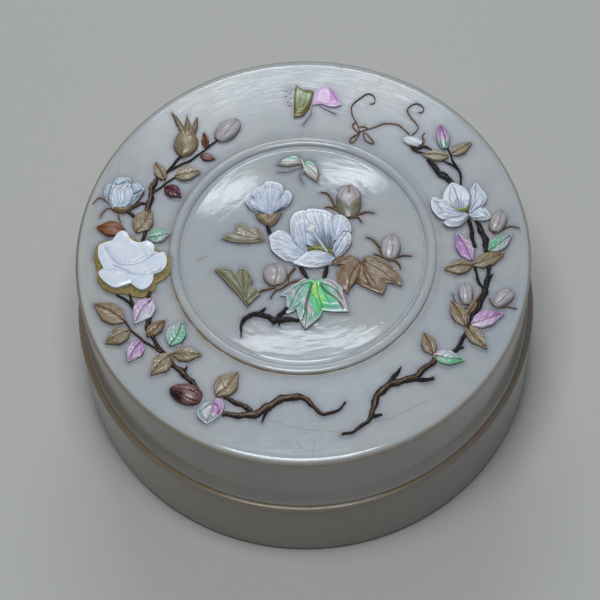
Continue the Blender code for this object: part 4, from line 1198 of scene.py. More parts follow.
def from_base(first, last, stripes=0.1):
    """A colour that runs from painted shade at the base of a petal to its pale edge, with faint
    stripes.
    """
    return lambda u, v, x, y: (first + (last - first) * u + stripes * np.sin(v * 17)
                               + 0.6 * stripes * np.sin(v * 37 + u * 3))


def throated(u, v, x, y):
    """Shaded in the throat, and pale towards the edge."""
    return 0.02 + 0.84 * eased((u - 0.34) / 0.5) + 0.12 * np.sin(v * 17) + 0.08 * np.sin(v * 41)


LOW = (0.22, 0.6, 0.86, 0.42)
MIDDLE = (0.35, 0.82, 0.78, 0.46)
flower("hibiscus", (
    ((5.0, -1.2), ((-1.2, 2.8), (-1.5, 4.5), (-0.6, 5.9), (0.3, 7.4), (0.8, 8.7), (1.7, 9.3),
                   (3.6, 9.1), (5.4, 8.4), (6.5, 7.2), (6.6, 5.1), (6.4, 2.8), (5.9, 0.7)),
     -0.3, 9, throated,
     (((5.4, -0.5), (5.3, 1.2), (4.7, 3.2), (4.0, 4.2)), ((5.3, -0.5), (4.9, 1.2), (4.2, 3.0)),
      ((5.5, -0.3), (5.6, 1.4), (5.3, 3.4)), ((5.2, -0.5), (4.5, 1.2), (3.7, 2.8)),
      ((4.9, -0.9), (3.0, 1.5), (1.6, 3.7)), ((5.6, -0.7), (3.7, 2.0), (2.4, 3.9)),
      ((5.6, -0.4), (5.9, 1.4), (5.8, 3.0)),
      # The last two lines are painted shadow round the pistil's head and along its rod
      ((2.3, 3.8), (2.6, 4.6), (2.6, 5.5), (1.9, 5.9), (1.3, 5.5), (0.6, 4.6), (0.8, 3.9)),
      ((5.3, -0.8), (4.4, 0.8), (3.3, 2.5), (2.6, 3.9))), LOW),
    ((6.3, 1.9), ((6.4, 2.8), (6.3, 5.0), (6.3, 6.9), (6.9, 7.5), (7.8, 7.5), (8.9, 6.8),
                  (9.6, 5.5), (9.8, 4.1), (9.5, 3.5), (8.7, 3.6), (7.7, 3.5)), -0.22, 6,
     from_base(0.3, 0.95), (), MIDDLE),
    ((1.2, -1.2), ((-0.7, 0.6), (-1.8, 1.9), (-2.3, 3.5), (-3.1, 4.2), (-4.3, 4.7), (-5.1, 4.4),
                   (-6.4, 3.5), (-6.3, 2.0), (-6.1, 0.6), (-5.2, -0.6), (-3.7, -1.9),
                   (-2.1, -2.4)), -0.22, 9, from_base(0.3, 1.0), ()),
    ((0.8, -0.8), ((-0.7, 0.5), (-1.6, 1.8), (-2.1, 3.5), (-2.2, 5.8), (-1.8, 7.4), (-1.0, 8.4),
                   (0.3, 8.8), (0.9, 8.6), (0.4, 7.3), (-0.5, 5.8)), -0.1, 7,
     from_base(0.3, 0.95), ()),
    ((6.1, -1.7), ((5.9, -1.2), (6.0, 0.2), (6.8, 1.8), (8.0, 3.4), (8.7, 3.5), (9.6, 3.0),
                   (9.6, 1.3), (8.6, -0.4), (7.5, -1.6), (6.5, -2.1)), -0.1, 6,
     from_base(0.35, 1.0), (((6.2, -1.0), (7.6, 1.2), (8.7, 3.1)),)),
    ((6.3, -2.2), ((5.4, -1.5), (3.9, -0.7), (2.4, -0.5), (0.8, -0.7), (0.0, -1.4), (-1.2, -2.3),
                   (-2.1, -2.8), (-0.7, -3.5), (1.4, -4.0), (3.6, -3.9), (5.4, -3.3)), -0.04, 8,
     from_base(0.5, 1.0), (), (0.5, 1.0, 0.55, 0.66)),
), white_shell, "white_shell")
olive_horn = polished("olive_horn", (
    (0.0, (0.15, 0.14, 0.04)), (0.4, (0.28, 0.28, 0.17)), (0.7, (0.38, 0.37, 0.25)),
    (1.0, (0.52, 0.48, 0.36))), 0.28,
    grain=0.8, wander=0.4, cut=(0.1, 0.055, 0.02), edge=(0.3, 0.24, 0.13), edge_share=0.35,
    coat=0.25, streaks=0.3)
throat_olive = polished("throat_olive", (
    (0.0, (0.14, 0.14, 0.04)), (0.5, (0.33, 0.34, 0.08)), (1.0, (0.48, 0.48, 0.14))), 0.35,
    cut=(0.06, 0.06, 0.02), edge=(0.2, 0.21, 0.05), coat=0.0, streaks=0.7,
    glue_and_side_shade=(0.16, 0.17, 0.05))
throat = []
for base, tip, width, lift in (((4.7, -0.6), (1.1, 0.2), 2.1, 0.12),
                               ((4.4, -0.2), (6.3, -1.6), 0.9, 0.4)):
    form = leaf_form(base, tip, width)
    throat.append(carve("throat", thin_blank(30, 12), form, leaf_cuts(form, 3), 0.6, lift=lift,
                        streak=side_veins))
for foot, tip in (((5.1, -0.2), (3.3, 3.9)), ((5.2, -0.1), (4.1, 4.1)), ((5.3, 0.0), (4.9, 3.8)),
                  ((5.4, 0.0), (5.6, 3.0)), ((3.3, 0.7), (1.3, 2.7)), ((2.8, 0.7), (0.8, 1.8)),
                  ((3.7, 0.7), (0.8, 3.4)), ((2.5, 0.5), (1.0, 1.2))):
    form = stem_form((foot, tip), (0.16, 0.14, 0.08), 0.45, 0.0)
    throat.append(carve("throat_hair", thin_blank(20, 6), form, play=0.35))
fitted(joined("hibiscus_throat", throat), "olive_horn", throat_olive)
pistil = [carve("pistil", thin_blank(40, 10), stem_form(
    ((4.9, -0.9), (3.8, 0.9), (2.9, 2.5), (2.1, 4.1)), (0.42, 0.5, 0.5), 1.0, 0.1), play=1.0,
    lift=0.38)]
for tip in ((0.8, 4.4), (1.6, 5.7), (2.5, 5.4)):
    form = bud_form((2.2, 3.9), tip, 1.15, 1.1, 0.4)
    pistil.append(carve("pistil_head", thin_blank(14, 10), form, play=1.0, lift=0.3))
fitted(joined("hibiscus_pistil", pistil), "white_shell", white_shell)


# The fan blossom
# A half-open flower of white shell whose petals spread like a fan from a horn calyx. The
# three lobes are carved from one slip of shell and glued in.

flower("fan_blossom", (
    ((-6.4, 8.2), ((-6.9, 8.4), (-8.6, 9.2), (-10.0, 10.2), (-10.9, 11.9), (-10.2, 13.2),
                   (-8.6, 13.6)), -0.2, 7, from_base(0.3, 0.75), ()),
    ((-6.0, 8.2), ((-3.6, 13.4), (-2.3, 13.6), (-1.6, 12.2), (-2.4, 10.4), (-4.6, 9.2)), -0.2, 7,
     from_base(0.3, 0.75), ()),
    ((-6.2, 8.0), ((-9.0, 11.4), (-9.4, 12.8), (-9.0, 14.2), (-7.9, 14.6), (-7.2, 15.1),
                   (-6.2, 15.8), (-4.0, 15.3), (-3.2, 14.0), (-3.8, 11.6)), 0.0, 11,
     from_base(0.4, 0.85), ()),
), white_shell, "white_shell")


# The cut leaves
# Leaves with lobes, sawn from horn and shell: each spreads from its heart, sunk along its
# veins and rounded between them.

def disc_blank(sides, rings):
    """A round blank modelled once for each fineness, closed at its middle."""
    if (sides, -rings) not in blanks:
        bpy.ops.object.select_all(action="DESELECT")
        bpy.ops.mesh.primitive_circle_add(vertices=sides, radius=1, fill_type="NOTHING")
        blank = bpy.context.object
        edit_all()
        for i in range(1, rings):
            share = (1 - i / rings) / (1 - (i - 1) / rings)
            bpy.ops.mesh.extrude_region_move()
            bpy.ops.transform.resize(value=(share, share, 1))
        bpy.ops.mesh.extrude_region_move()
        bpy.ops.mesh.merge(type="CENTER")
        bpy.ops.mesh.select_mode(type="EDGE")
        bpy.ops.mesh.select_all(action="DESELECT")
        bpy.ops.object.mode_set(mode="OBJECT")
        spots = places_of(blank) * MM
        rim = np.hypot(spots[:, 0], spots[:, 1]) > 0.999
        for edge in blank.data.edges:
            edge.select = bool(rim[edge.vertices[0]] and rim[edge.vertices[1]])
        bpy.ops.object.mode_set(mode="EDIT")
        blanks[sides, -rings] = finish_blank(blank)
    return blanks[sides, -rings]


def leaf_swell(reach):
    """A little hollow at the heart, highest in the middle of the lobes and low at the edge."""
    return swell(reach, 0.75, 1.0, 0.66, 0.34)


def cut_piece(name, heart, outline, cuts, level=leaf_swell, play=0.5, height=LEAF_HEIGHT,
              rings=22, sides=168):
    """Carves a round blank to a cut outline. Level turns the reach from its heart into height."""
    per_side = max(3, round(sides / len(outline)))
    line = smooth_line(outline, per_side, closed=True)
    count = len(line)

    def form(u, v):
        reach = np.hypot(u, v)
        turn = (np.arctan2(v, u) / (2 * math.pi)) % 1 * count
        low = np.floor(turn + 1e-6).astype(int)
        share = (turn - low)[:, None]
        edge = line[low % count] * (1 - share) + line[(low + 1) % count] * share
        x = heart[0] + (edge[:, 0] - heart[0]) * reach
        y = heart[1] + (edge[:, 1] - heart[1]) * reach
        return x, y, GLUE_GAP + height * level(reach)
    return carve(name, disc_blank(count, rings), form, cuts, play, middle=0.0)


def cut_inlay(node_name, slot, finish, *shape, **ways):
    """A cut piece in its finish, set in place of its plain solid."""
    return fitted(cut_piece(node_name + "_carved", *shape, **ways), slot, finish, node_name)


def veined(heart, tips, width=0.1, depth=0.1, dark=0.85, valley=0.4):
    """Veins from the heart to each tip, each in a shallow valley darkened with painted shade."""
    cuts = []
    for points in tips:
        line = smooth_line((heart,) + tuple(points), 8)
        cuts.append((line, width, depth, dark))
        if valley:
            # The wide valley is darkened with painted shade
            cuts.append((line, 0.5, valley * 0.4, 0.34 * dark))
    return cuts


SHARP = 1
cut_inlay("fan_calyx", "tan_horn", tan_horn, (-6.4, 7.4), (
    (-8.9, 9.1, SHARP), (-8.5, 7.8), (-7.5, 6.7), (-6.4, 5.9), (-5.3, 6.4), (-4.4, 7.5),
    (-3.9, 8.9, SHARP), (-5.2, 8.4), (-6.5, 8.9, SHARP), (-7.7, 8.6)),
    veined((-6.4, 6.2), (((-7.6, 7.4), (-8.6, 8.8)), ((-5.4, 7.4), (-4.2, 8.6)),
                         ((-6.5, 7.6), (-6.5, 8.6))), dark=0.3, valley=0.2), rings=14, play=0.6,
    height=1.1)
cut_inlay("half_leaf", "olive_horn", olive_horn, (-11.3, 3.9), (
    (-15.6, 3.9, SHARP), (-15.2, 4.4), (-14.5, 4.8), (-13.5, 5.0), (-12.9, 5.2, SHARP),
    (-12.8, 6.3), (-12.2, 6.8), (-11.3, 6.5), (-9.9, 5.2, SHARP), (-9.2, 5.7), (-8.6, 5.7),
    (-8.0, 4.4), (-7.4, 2.8, SHARP), (-9.2, 2.6), (-10.8, 2.6), (-13.6, 3.0)),
    veined((-7.6, 2.9), (((-11.0, 3.2), (-15.2, 3.9)), ((-9.5, 4.0), (-12.4, 6.3)),
                         ((-8.2, 4.0), (-8.6, 5.4)), ((-10.6, 3.6), (-13.8, 4.7))), valley=0.3),
    play=1.0)
cut_inlay("folded_leaf", "olive_horn", olive_horn, (-12.3, -6.3), (
    (-17.4, -2.9, SHARP), (-16.4, -2.6), (-15.4, -2.8), (-14.2, -3.3), (-13.3, -4.3, SHARP),
    (-12.7, -3.2), (-11.8, -2.9), (-11.0, -3.7), (-10.2, -5.6), (-10.5, -6.9, SHARP),
    (-9.4, -8.0), (-8.8, -8.9, SHARP), (-10.0, -9.9), (-11.4, -11.4, SHARP), (-12.7, -9.3),
    (-15.7, -5.3)),
    veined((-11.4, -11.2), (((-13.6, -7.0), (-17.0, -3.1)), ((-12.6, -7.0), (-14.6, -3.3)),
                            ((-12.0, -7.0), (-12.0, -3.3)), ((-11.4, -8.6), (-10.7, -4.8)),
                            ((-10.6, -9.6), (-9.2, -8.6))), 0.12, dark=0.7, valley=0.1),
    play=0.5, height=0.7)
cut_inlay("horn_maple", "brown_horn", brown_horn, (11.8, -4.4), (
    (11.5, -2.8, SHARP), (10.1, -1.9), (8.4, -1.4), (6.4, -2.4), (5.4, -3.3, SHARP), (7.1, -3.6),
    (6.6, -5.3), (6.7, -7.6), (8.3, -9.8, SHARP), (9.0, -8.4), (10.2, -7.4, SHARP), (11.8, -8.5),
    (13.4, -9.4), (15.1, -10.3, SHARP), (15.9, -8.8), (16.1, -7.7, SHARP), (17.4, -7.9),
    (18.9, -8.5, SHARP), (18.8, -6.8), (18.3, -5.2, SHARP), (17.0, -3.8), (14.6, -2.2),
    (12.4, -1.9)),
    veined((11.6, -2.9), (((9.2, -2.4), (6.2, -3.0)), ((9.6, -5.6), (8.1, -9.2)),
                          ((10.8, -5.6), (10.3, -7.6)), ((12.6, -5.8), (14.8, -9.8)),
                          ((12.0, -5.4), (12.6, -8.4)), ((15.0, -5.2), (18.6, -8.2)),
                          ((14.8, -3.4), (17.8, -5.0))), 0.14, dark=1.0, valley=0.2),
    rings=44, sides=336, play=lambda u, v, x, y:
    0.42 + 0.3 * eased((x - 11) / 4) + 0.14 * np.sin(x * 2.6) * np.cos(y * 2.1))


def maple_play(u, v, x, y):
    """Yellow-green in the middle, emerald round it, pale at the left and pink at the edges."""
    middle = eased((x - 0.3 + (y + 8) * 0.12) / 1.2) * eased((5.6 - x) / 3)
    play = 0.35 + 0.37 * middle
    for amount, across, width, down, depth in (
            (0.16, 2.0, 1.0, -9.0, 2.0), (0.18, -1.2, 1.0, -10.6, 1.8),
            (0.22, 4.3, 0.9, -10.9, 1.0), (0.1, 5.6, 1.4, -12.3, 1.0),
            (-0.55, 5.6, 1.9, -7.2, 0.7)):
        play = play + amount * near_line(x, across, width) * near_line(y, down, depth)
    play = play - 0.4 * eased((x - 6.6) / 0.6) * eased((x + y + 5.4) / 0.6)
    play = play - 0.22 * near_line(x + y * 0.9, -10.8, 0.7)
    return play - 0.1 * near_line(y, -16.4, 1.2) + 0.06 * np.sin(x * 3.1 + y * 1.3)


cut_inlay("shell_maple", "green_shell", green_shell, (2.2, -8.4), (
    (2.1, -6.9, SHARP), (1.2, -6.4), (0.0, -6.2), (-2.1, -7.5), (-3.4, -8.5), (-4.8, -9.5, SHARP),
    (-3.7, -9.7, SHARP), (-3.7, -11.5), (-3.9, -13.5, SHARP), (-2.7, -13.2), (-1.8, -12.6, SHARP),
    (-1.5, -14.4), (-0.3, -17.0, SHARP), (1.3, -15.7), (2.7, -14.5), (3.3, -13.2, SHARP),
    (5.5, -13.6), (8.3, -13.7, SHARP), (8.0, -12.0), (7.5, -10.1, SHARP), (7.4, -8.7, SHARP),
    (5.9, -7.1), (4.2, -6.4), (3.0, -6.5)),
    [(smooth_line(line, 8), width, depth, dark) for line, width, depth, dark in (
        (((1.3, -7.3), (-1.1, -7.7), (-2.6, -8.4), (-3.8, -9.3)), 0.12, 0.08, 0.8),
        (((1.3, -7.4), (-0.1, -7.7), (-1.4, -9.0), (-2.4, -10.7), (-3.4, -12.6)), 0.13, 0.1, 0.9),
        (((1.5, -7.6), (0.9, -9.3), (0.2, -11.5), (-0.3, -13.7), (-0.9, -15.1)), 0.2, 0.14, 1.0),
        (((1.1, -9.2), (0.4, -11.8), (0.0, -14.4), (-0.3, -16.6)), 0.12, 0.08, 1.0),
        (((3.2, -7.9), (4.0, -9.3), (5.1, -10.3), (6.3, -11.2), (7.3, -13.0)), 0.22, 0.14, 1.0),
        (((3.2, -7.6), (4.8, -8.3), (6.1, -9.2), (7.3, -11.1)), 0.17, 0.1, 0.9),
        (((3.0, -7.2), (4.8, -7.4), (6.6, -8.5)), 0.1, 0.06, 0.6),
        (((2.5, -7.6), (2.5, -9.4), (2.9, -11.3), (3.4, -12.8)), 0.1, 0.06, 0.75),
        (((1.2, -9.4), (2.1, -11.3), (2.4, -12.4)), 0.09, 0.06, 0.7),
        (((0.5, -11.8), (1.2, -13.2), (1.1, -14.5)), 0.09, 0.06, 0.7),
        (((3.8, -9.4), (4.2, -10.8), (4.9, -12.2)), 0.09, 0.06, 0.7),
        (((-0.2, -8.6), (-1.6, -10.8), (-2.2, -12.2)), 0.08, 0.05, 0.5),
        (((-1.4, -8.2), (-3.0, -9.6), (-3.4, -10.8)), 0.08, 0.05, 0.4))],
    play=maple_play, rings=52, sides=360)
cut_inlay("heart_leaf", "pink_shell", pink_shell, (-19.6, -32.8), (
    (-18.9, -31.3, SHARP), (-19.8, -31.1), (-20.9, -31.5), (-22.1, -33.0), (-21.7, -34.4),
    (-20.3, -35.6, SHARP), (-18.6, -34.7), (-17.4, -33.6), (-16.8, -32.2), (-17.2, -31.1),
    (-18.2, -30.6)),
    veined((-18.9, -31.5), (((-19.4, -33.4), (-20.2, -35.1)), ((-20.2, -32.2), (-21.5, -33.2)),
                            ((-18.1, -32.4), (-17.8, -33.6)))), play=lambda u, v, x, y:
    0.95 - 0.55 * eased((x + 19.7) / 0.8) * eased((y + 34.6) / 1.0) - 0.2 * near_line(
        x, -20.2, 0.6), rings=26, sides=240)


# The crowned fruit
# A glossy drop of tan horn with three pointed sepals, each hollowed along its length. It is
# sawn from one slip, rounded with a file and glued in.

cut_inlay("crowned_fruit", "tan_horn", tan_horn, (-22.1, 26.6), (
    (-22.9, 23.1, SHARP), (-24.0, 24.3), (-24.6, 26.0), (-24.1, 27.8), (-23.3, 29.2),
    (-23.9, 31.0), (-24.8, 34.0, SHARP), (-23.4, 32.1), (-22.4, 30.0, SHARP), (-22.1, 31.4),
    (-21.7, 33.0, SHARP), (-21.3, 31.4), (-20.9, 29.9, SHARP), (-20.4, 30.8), (-19.6, 32.3, SHARP),
    (-19.7, 30.2), (-20.2, 28.4), (-19.7, 26.8), (-20.0, 25.2), (-21.3, 23.7)),
    [(((-23.3, 29.0), (-24.4, 32.6)), 0.14, 0.2, 0.6), (((-21.8, 29.6), (-21.7, 31.8)), 0.12, 0.12,
                                                        0.5),
     (((-20.6, 28.9), (-19.9, 31.2)), 0.12, 0.18, 0.6),
     (((-23.3, 28.7), (-22.4, 29.3), (-21.6, 29.0), (-20.8, 29.3), (-20.3, 28.6)), 0.16, 0.12,
      0.35)],
    lambda reach: np.sqrt(np.clip(1.02 - 0.86 * reach ** 2.4, 0, 1)), height=1.3,
    play=lambda u, v, x, y: 0.42 + 0.15 * np.sin(x * 1.7 + y))


# The moth
# Cut from pale green shell with brown edges: two wings over a thin body. The wings are veined
# with a fine graver and set side by side in one bed of glue.

moth_shell = polished("moth_shell", (
    (0.0, (0.62, 0.54, 0.44)), (0.4, (0.8, 0.78, 0.76)), (0.65, (0.8, 0.94, 0.9)),
    (1.0, (0.38, 0.86, 0.68))), 0.26, wander=0.4, cut=(0.16, 0.1, 0.07),
    edge=(0.34, 0.21, 0.1), edge_share=0.85, coat=0.3, streaks=0.4)
moth = [
    cut_piece("moth_wing_left", (-1.4, 20.6), (
        (-4.1, 20.0, SHARP), (-3.2, 21.0), (-2.0, 21.6), (-0.9, 21.9), (0.1, 21.9), (0.5, 21.0),
        (0.9, 19.8, SHARP), (-0.6, 19.7), (-2.2, 19.5)),
        veined((0.8, 20.2), (((-1.4, 20.3), (-3.6, 20.2)), ((-0.8, 20.9), (-1.9, 21.3)),
                             ((0.0, 21.0), (-0.4, 21.7))), 0.08, valley=0.0),
        play=lambda u, v, x, y: 0.35 + 0.65 * eased((y - 20.2) / 1.0), rings=28, sides=216,
        height=0.7),
    cut_piece("moth_wing_right", (2.6, 18.6), (
        (0.9, 19.8, SHARP), (1.7, 20.6), (2.8, 20.3), (3.5, 19.3), (4.0, 17.9), (3.9, 16.6),
        (3.6, 15.5, SHARP), (2.7, 16.2), (1.6, 17.2), (1.0, 18.3)),
        veined((1.1, 19.6), (((2.4, 18.4), (3.8, 16.0)), ((2.8, 19.2), (4.1, 17.6)),
                             ((2.0, 19.8), (3.0, 19.9)), ((1.6, 18.6), (3.0, 16.6)),
                             ((2.0, 18.9), (3.5, 17.0))), 0.08, valley=0.0),
        play=lambda u, v, x, y: 0.5 + 0.5 * eased((y - 18.8) / 1.0), rings=28, sides=216,
        height=0.7)]
fitted(joined("moth_carved", moth), "green_shell", moth_shell, "moth")
form = stem_form(((0.3, 21.0), (0.9, 20.0), (1.2, 18.6), (1.0, 17.6)), (0.4, 0.5, 0.3), 0.8, 0.1)
fitted(carve("moth_body", thin_blank(24, 8), form, lift=0.1), "green_shell", moth_shell)


# The peony
# A ruffled cup of blue-white shell petals in a brown calyx. The petals are carved from one
# slip, deepest between the lobes, and the horn calyx is fitted round them.

blue_shell = polished("blue_shell", (
    (0.0, (0.26, 0.38, 0.45)), (0.4, (0.52, 0.68, 0.78)), (0.7, (0.74, 0.84, 0.94)),
    (1.0, (0.92, 0.9, 1.0))), 0.24, grain=0.9, wander=0.35, cut=(0.05, 0.1, 0.14),
    edge=(0.74, 0.88, 0.96), edge_share=0.45, coat=0.15, streaks=0.6)
ruffles = [((x, y), (x + 0.5, y + 0.75)) for x, y in (
    (-36.9, 16.4), (-36.2, 16.0), (-35.5, 16.4), (-34.8, 15.9), (-34.3, 16.6), (-35.1, 17.2))]
flower("peony", (
    ((-36.8, 15.0), ((-37.6, 13.9), (-38.4, 14.6), (-38.8, 16.0), (-38.5, 17.5), (-37.7, 18.3),
                     (-37.2, 18.1)), -0.3, 4, from_base(0.3, 0.8), ()),
    ((-35.2, 16.7), ((-37.2, 17.8), (-36.3, 19.2), (-35.2, 19.5), (-33.8, 19.2), (-33.4, 18.5),
                     (-33.7, 17.5)), -0.28, 6, from_base(0.3, 0.95), ()),
    ((-33.8, 15.7), ((-33.5, 17.5), (-32.8, 17.7), (-32.1, 17.8), (-31.3, 17.0), (-30.8, 16.0),
                     (-31.6, 15.3), (-32.9, 14.9)), -0.24, 5, from_base(0.35, 0.85), ()),
    ((-35.2, 12.5), ((-33.2, 15.0), (-31.9, 15.4), (-31.0, 15.8), (-32.0, 14.2), (-33.0, 12.9),
                     (-34.2, 12.0)), -0.16, 5, from_base(0.35, 0.6), ()),
    ((-35.8, 12.5), ((-37.2, 12.5), (-37.8, 14.0), (-37.8, 15.7), (-37.0, 17.7), (-35.8, 17.5),
                     (-35.0, 17.9), (-33.9, 18.1), (-33.3, 16.7), (-33.0, 14.9), (-33.3, 13.5),
                     (-34.3, 12.3)), 0.0, 7, from_base(0.55, 1.0, 0.12), ruffles),
), blue_shell, "blue_shell")
piece = cut_piece("peony_calyx", (-34.6, 12.6), (
    (-37.6, 12.9, SHARP), (-36.8, 12.0), (-35.8, 11.6), (-34.7, 11.5), (-33.6, 12.0),
    (-32.4, 13.3), (-31.6, 14.5), (-30.8, 15.7, SHARP), (-32.2, 14.8), (-33.2, 13.6),
    (-34.4, 12.9), (-35.8, 12.7)),
    (), play=0.2, rings=8, height=0.8)
fitted(piece, "brown_horn", brown_horn)


# The large white flower
# A flat disc of white shell with a lobed edge and a few long engraved curves. It lies on a
# wider plate of mottled gold lacquer.

gold_lacquer = polished("gold_lacquer", (
    (0.0, (0.15, 0.09, 0.015)), (0.5, (0.31, 0.225, 0.05)), (1.0, (0.44, 0.37, 0.13))), 0.4,
    grain=2.0, wander=1.0, cut=(0.1, 0.06, 0.02), edge=(0.29, 0.22, 0.06), edge_share=0.3,
    coat=0.0, glue_and_side_shade=(0.3, 0.25, 0.11))
piece = cut_piece("gold_underlay_plate", (-33.7, -0.9), (
    (-26.2, 0.4), (-28.9, 2.8), (-31.7, 4.5), (-33.9, 6.2), (-35.6, 7.0), (-37.7, 5.6),
    (-39.2, 5.4), (-40.6, 4.6), (-41.0, 3.0), (-41.1, 1.2), (-40.6, -1.0), (-40.7, -2.9),
    (-39.5, -4.9), (-37.4, -6.3), (-35.4, -6.6), (-33.7, -7.3), (-31.7, -7.7), (-29.6, -6.4),
    (-29.0, -4.9), (-27.2, -3.9), (-26.1, -2.0)), (),
    lambda reach: swell(reach, 1.0, 1.0, 0.9, 0.6), height=0.25, rings=12, sides=210)
fitted(piece, "gold_lacquer", gold_lacquer, "gold_underlay")
flower_curves = [(smooth_line(line, 12), width, depth, dark) for line, width, depth, dark in (
    (((-38.9, 3.4), (-37.6, 0.8), (-35.8, -0.8), (-33.0, -0.8), (-30.7, 0.1), (-29.0, 1.1)),
     0.2, 0.16, 0.45),
    (((-38.4, 3.0), (-37.0, 0.6), (-35.6, -0.3), (-33.0, -0.3), (-31.0, 0.7)), 0.5, 0.12, 0.12),
    (((-37.4, -0.8), (-34.7, -2.4), (-33.1, -3.2), (-30.0, -3.4), (-27.6, -2.4)), 0.25, 0.14,
     0.35),
    (((-39.0, -1.6), (-36.6, -1.9), (-34.4, -2.9)), 0.25, 0.1, 0.25),
    (((-34.0, -5.0), (-33.2, -4.2), (-31.6, -4.0)), 0.2, 0.08, 0.2),
    (((-29.3, -3.4), (-30.4, -2.6), (-31.8, -2.8)), 0.2, 0.08, 0.2),
    (((-29.2, 1.6), (-30.4, 1.2), (-31.6, 1.6)), 0.2, 0.08, 0.15))]


cut_inlay("large_white_flower", "white_shell", white_shell, (-33.8, -0.6), (
    (-28.2, 1.1), (-29.2, 1.6, SHARP), (-29.2, 3.0), (-30.4, 4.0), (-32.2, 3.8), (-33.7, 4.7),
    (-34.4, 6.1), (-35.3, 6.8), (-36.4, 6.2), (-37.4, 4.8, SHARP), (-38.6, 4.6), (-40.0, 4.1),
    (-40.3, 2.9), (-40.2, 1.3), (-39.3, -1.2, SHARP), (-40.3, -1.9), (-40.0, -3.0), (-38.8, -4.5),
    (-37.2, -5.6), (-35.6, -5.4), (-34.0, -5.0, SHARP), (-33.0, -6.0), (-31.9, -6.6),
    (-30.7, -6.2), (-29.7, -4.9), (-29.5, -3.4, SHARP), (-28.0, -2.9), (-27.0, -1.8),
    (-26.8, -0.2), (-27.3, 1.2)), flower_curves,
    lambda reach: swell(reach, 0.94, 1.0, 0.8, 0.9),
    lambda u, v, x, y: 0.78 + 0.08 * np.sin(x * 0.9) * np.cos(y * 0.8), 1.5, 44, 300)


# The magnolia
# Five long petals of white shell. A row of short white stamens stands over an olive-green
# band at their base.

flower("magnolia", (
    ((33.2, 7.0), ((33.9, 8.7), (33.9, 10.3), (33.7, 11.9), (34.3, 12.9), (35.1, 14.0, SHARP),
                   (36.0, 12.5), (36.8, 11.3), (36.9, 10.3), (36.5, 9.2), (35.8, 8.4),
                   (34.7, 7.6)), -0.26, 7, from_base(0.45, 0.8),
     (((35.1, 13.7), (34.8, 12.3), (34.8, 10.6), (34.5, 9.2), (33.8, 7.9)),)),
    ((33.1, 6.6), ((34.4, 7.4), (35.8, 8.0), (36.4, 8.1), (37.1, 7.0), (37.5, 6.0, SHARP),
                   (37.1, 5.6), (35.9, 5.3), (34.5, 5.3), (33.6, 5.8)), -0.2, 5,
     from_base(0.5, 0.85), (((37.4, 5.8), (36.4, 6.5), (35.5, 6.9)),)),
    ((32.8, 6.9), ((31.6, 6.8), (30.9, 6.1), (29.7, 5.5), (28.6, 5.4), (28.1, 4.8, SHARP),
                   (28.8, 4.2), (29.8, 4.0), (31.1, 4.2), (32.2, 5.0), (33.0, 6.0)), -0.12, 6,
     from_base(0.5, 0.85), ()),
    ((31.6, 7.6), ((29.6, 8.4), (28.9, 9.1), (28.3, 9.9), (28.3, 10.8), (28.7, 12.0),
                   (29.7, 13.4), (30.3, 14.0, SHARP), (31.5, 13.5), (32.5, 12.9), (33.3, 11.9),
                   (33.7, 10.8), (33.7, 10.0), (33.5, 8.4)), -0.12, 7,
     lambda u, v, x, y: 0.95 - 0.8 * eased((0.52 - u) / 0.15),
     (((30.3, 13.3), (29.8, 11.9), (29.6, 10.1), (29.9, 9.4)),
      ((30.4, 13.3), (30.7, 11.9), (31.1, 10.7), (31.2, 9.5))), LOW),
    ((32.6, 6.8), ((31.9, 7.0), (30.5, 7.1), (29.5, 7.5), (28.4, 8.4), (27.6, 9.2), (28.0, 9.8),
                   (27.2, 10.4), (26.4, 10.5), (25.9, 10.1), (25.8, 9.1), (26.0, 7.9),
                   (26.6, 6.9), (27.5, 5.9), (28.7, 5.6), (30.1, 5.6), (31.4, 6.1)), 0.0, 9,
     from_base(0.45, 0.85), (((26.0, 10.1), (26.9, 9.2), (27.5, 7.9), (28.5, 6.8), (29.8, 6.4)),)),
), white_shell, "white_shell", 0.0)
form = stem_form(((29.6, 8.7), (30.1, 7.9), (30.8, 7.5), (31.7, 7.3), (32.5, 7.5), (33.2, 8.1),
                  (33.6, 9.0)), (0.3, 0.5, 0.65, 0.65, 0.5, 0.3), 1.1, 0.3)
piece = carve("magnolia_heart", thin_blank(40, 10), form, play=0.6, lift=0.6)
fitted(piece, "olive_horn", throat_olive)
stamens = []
for tip, foot in (((29.7, 9.3), (29.9, 7.9)), ((30.1, 9.4), (30.3, 7.8)),
                  ((30.5, 9.5), (30.6, 7.7)), ((31.0, 9.6), (31.1, 7.6)),
                  ((31.6, 9.7), (31.6, 7.6)), ((32.0, 9.7), (32.0, 7.7)),
                  ((32.4, 9.7), (32.3, 7.8)), ((32.8, 9.7), (32.7, 8.0)),
                  ((33.3, 9.8), (33.0, 8.3))):
    form = stem_form((foot, tip), (0.17, 0.22, 0.3), 0.6, 0.0)
    stamens.append(carve("stamen", thin_blank(12, 6), form, play=1.0, lift=0.7))
fitted(joined("magnolia_stamens", stamens), "white_shell", white_shell)


# The insect
# A wedge of olive horn with brown edges for its body, a folded wing of pink shell, and a few
# pale specks of shell beside it.

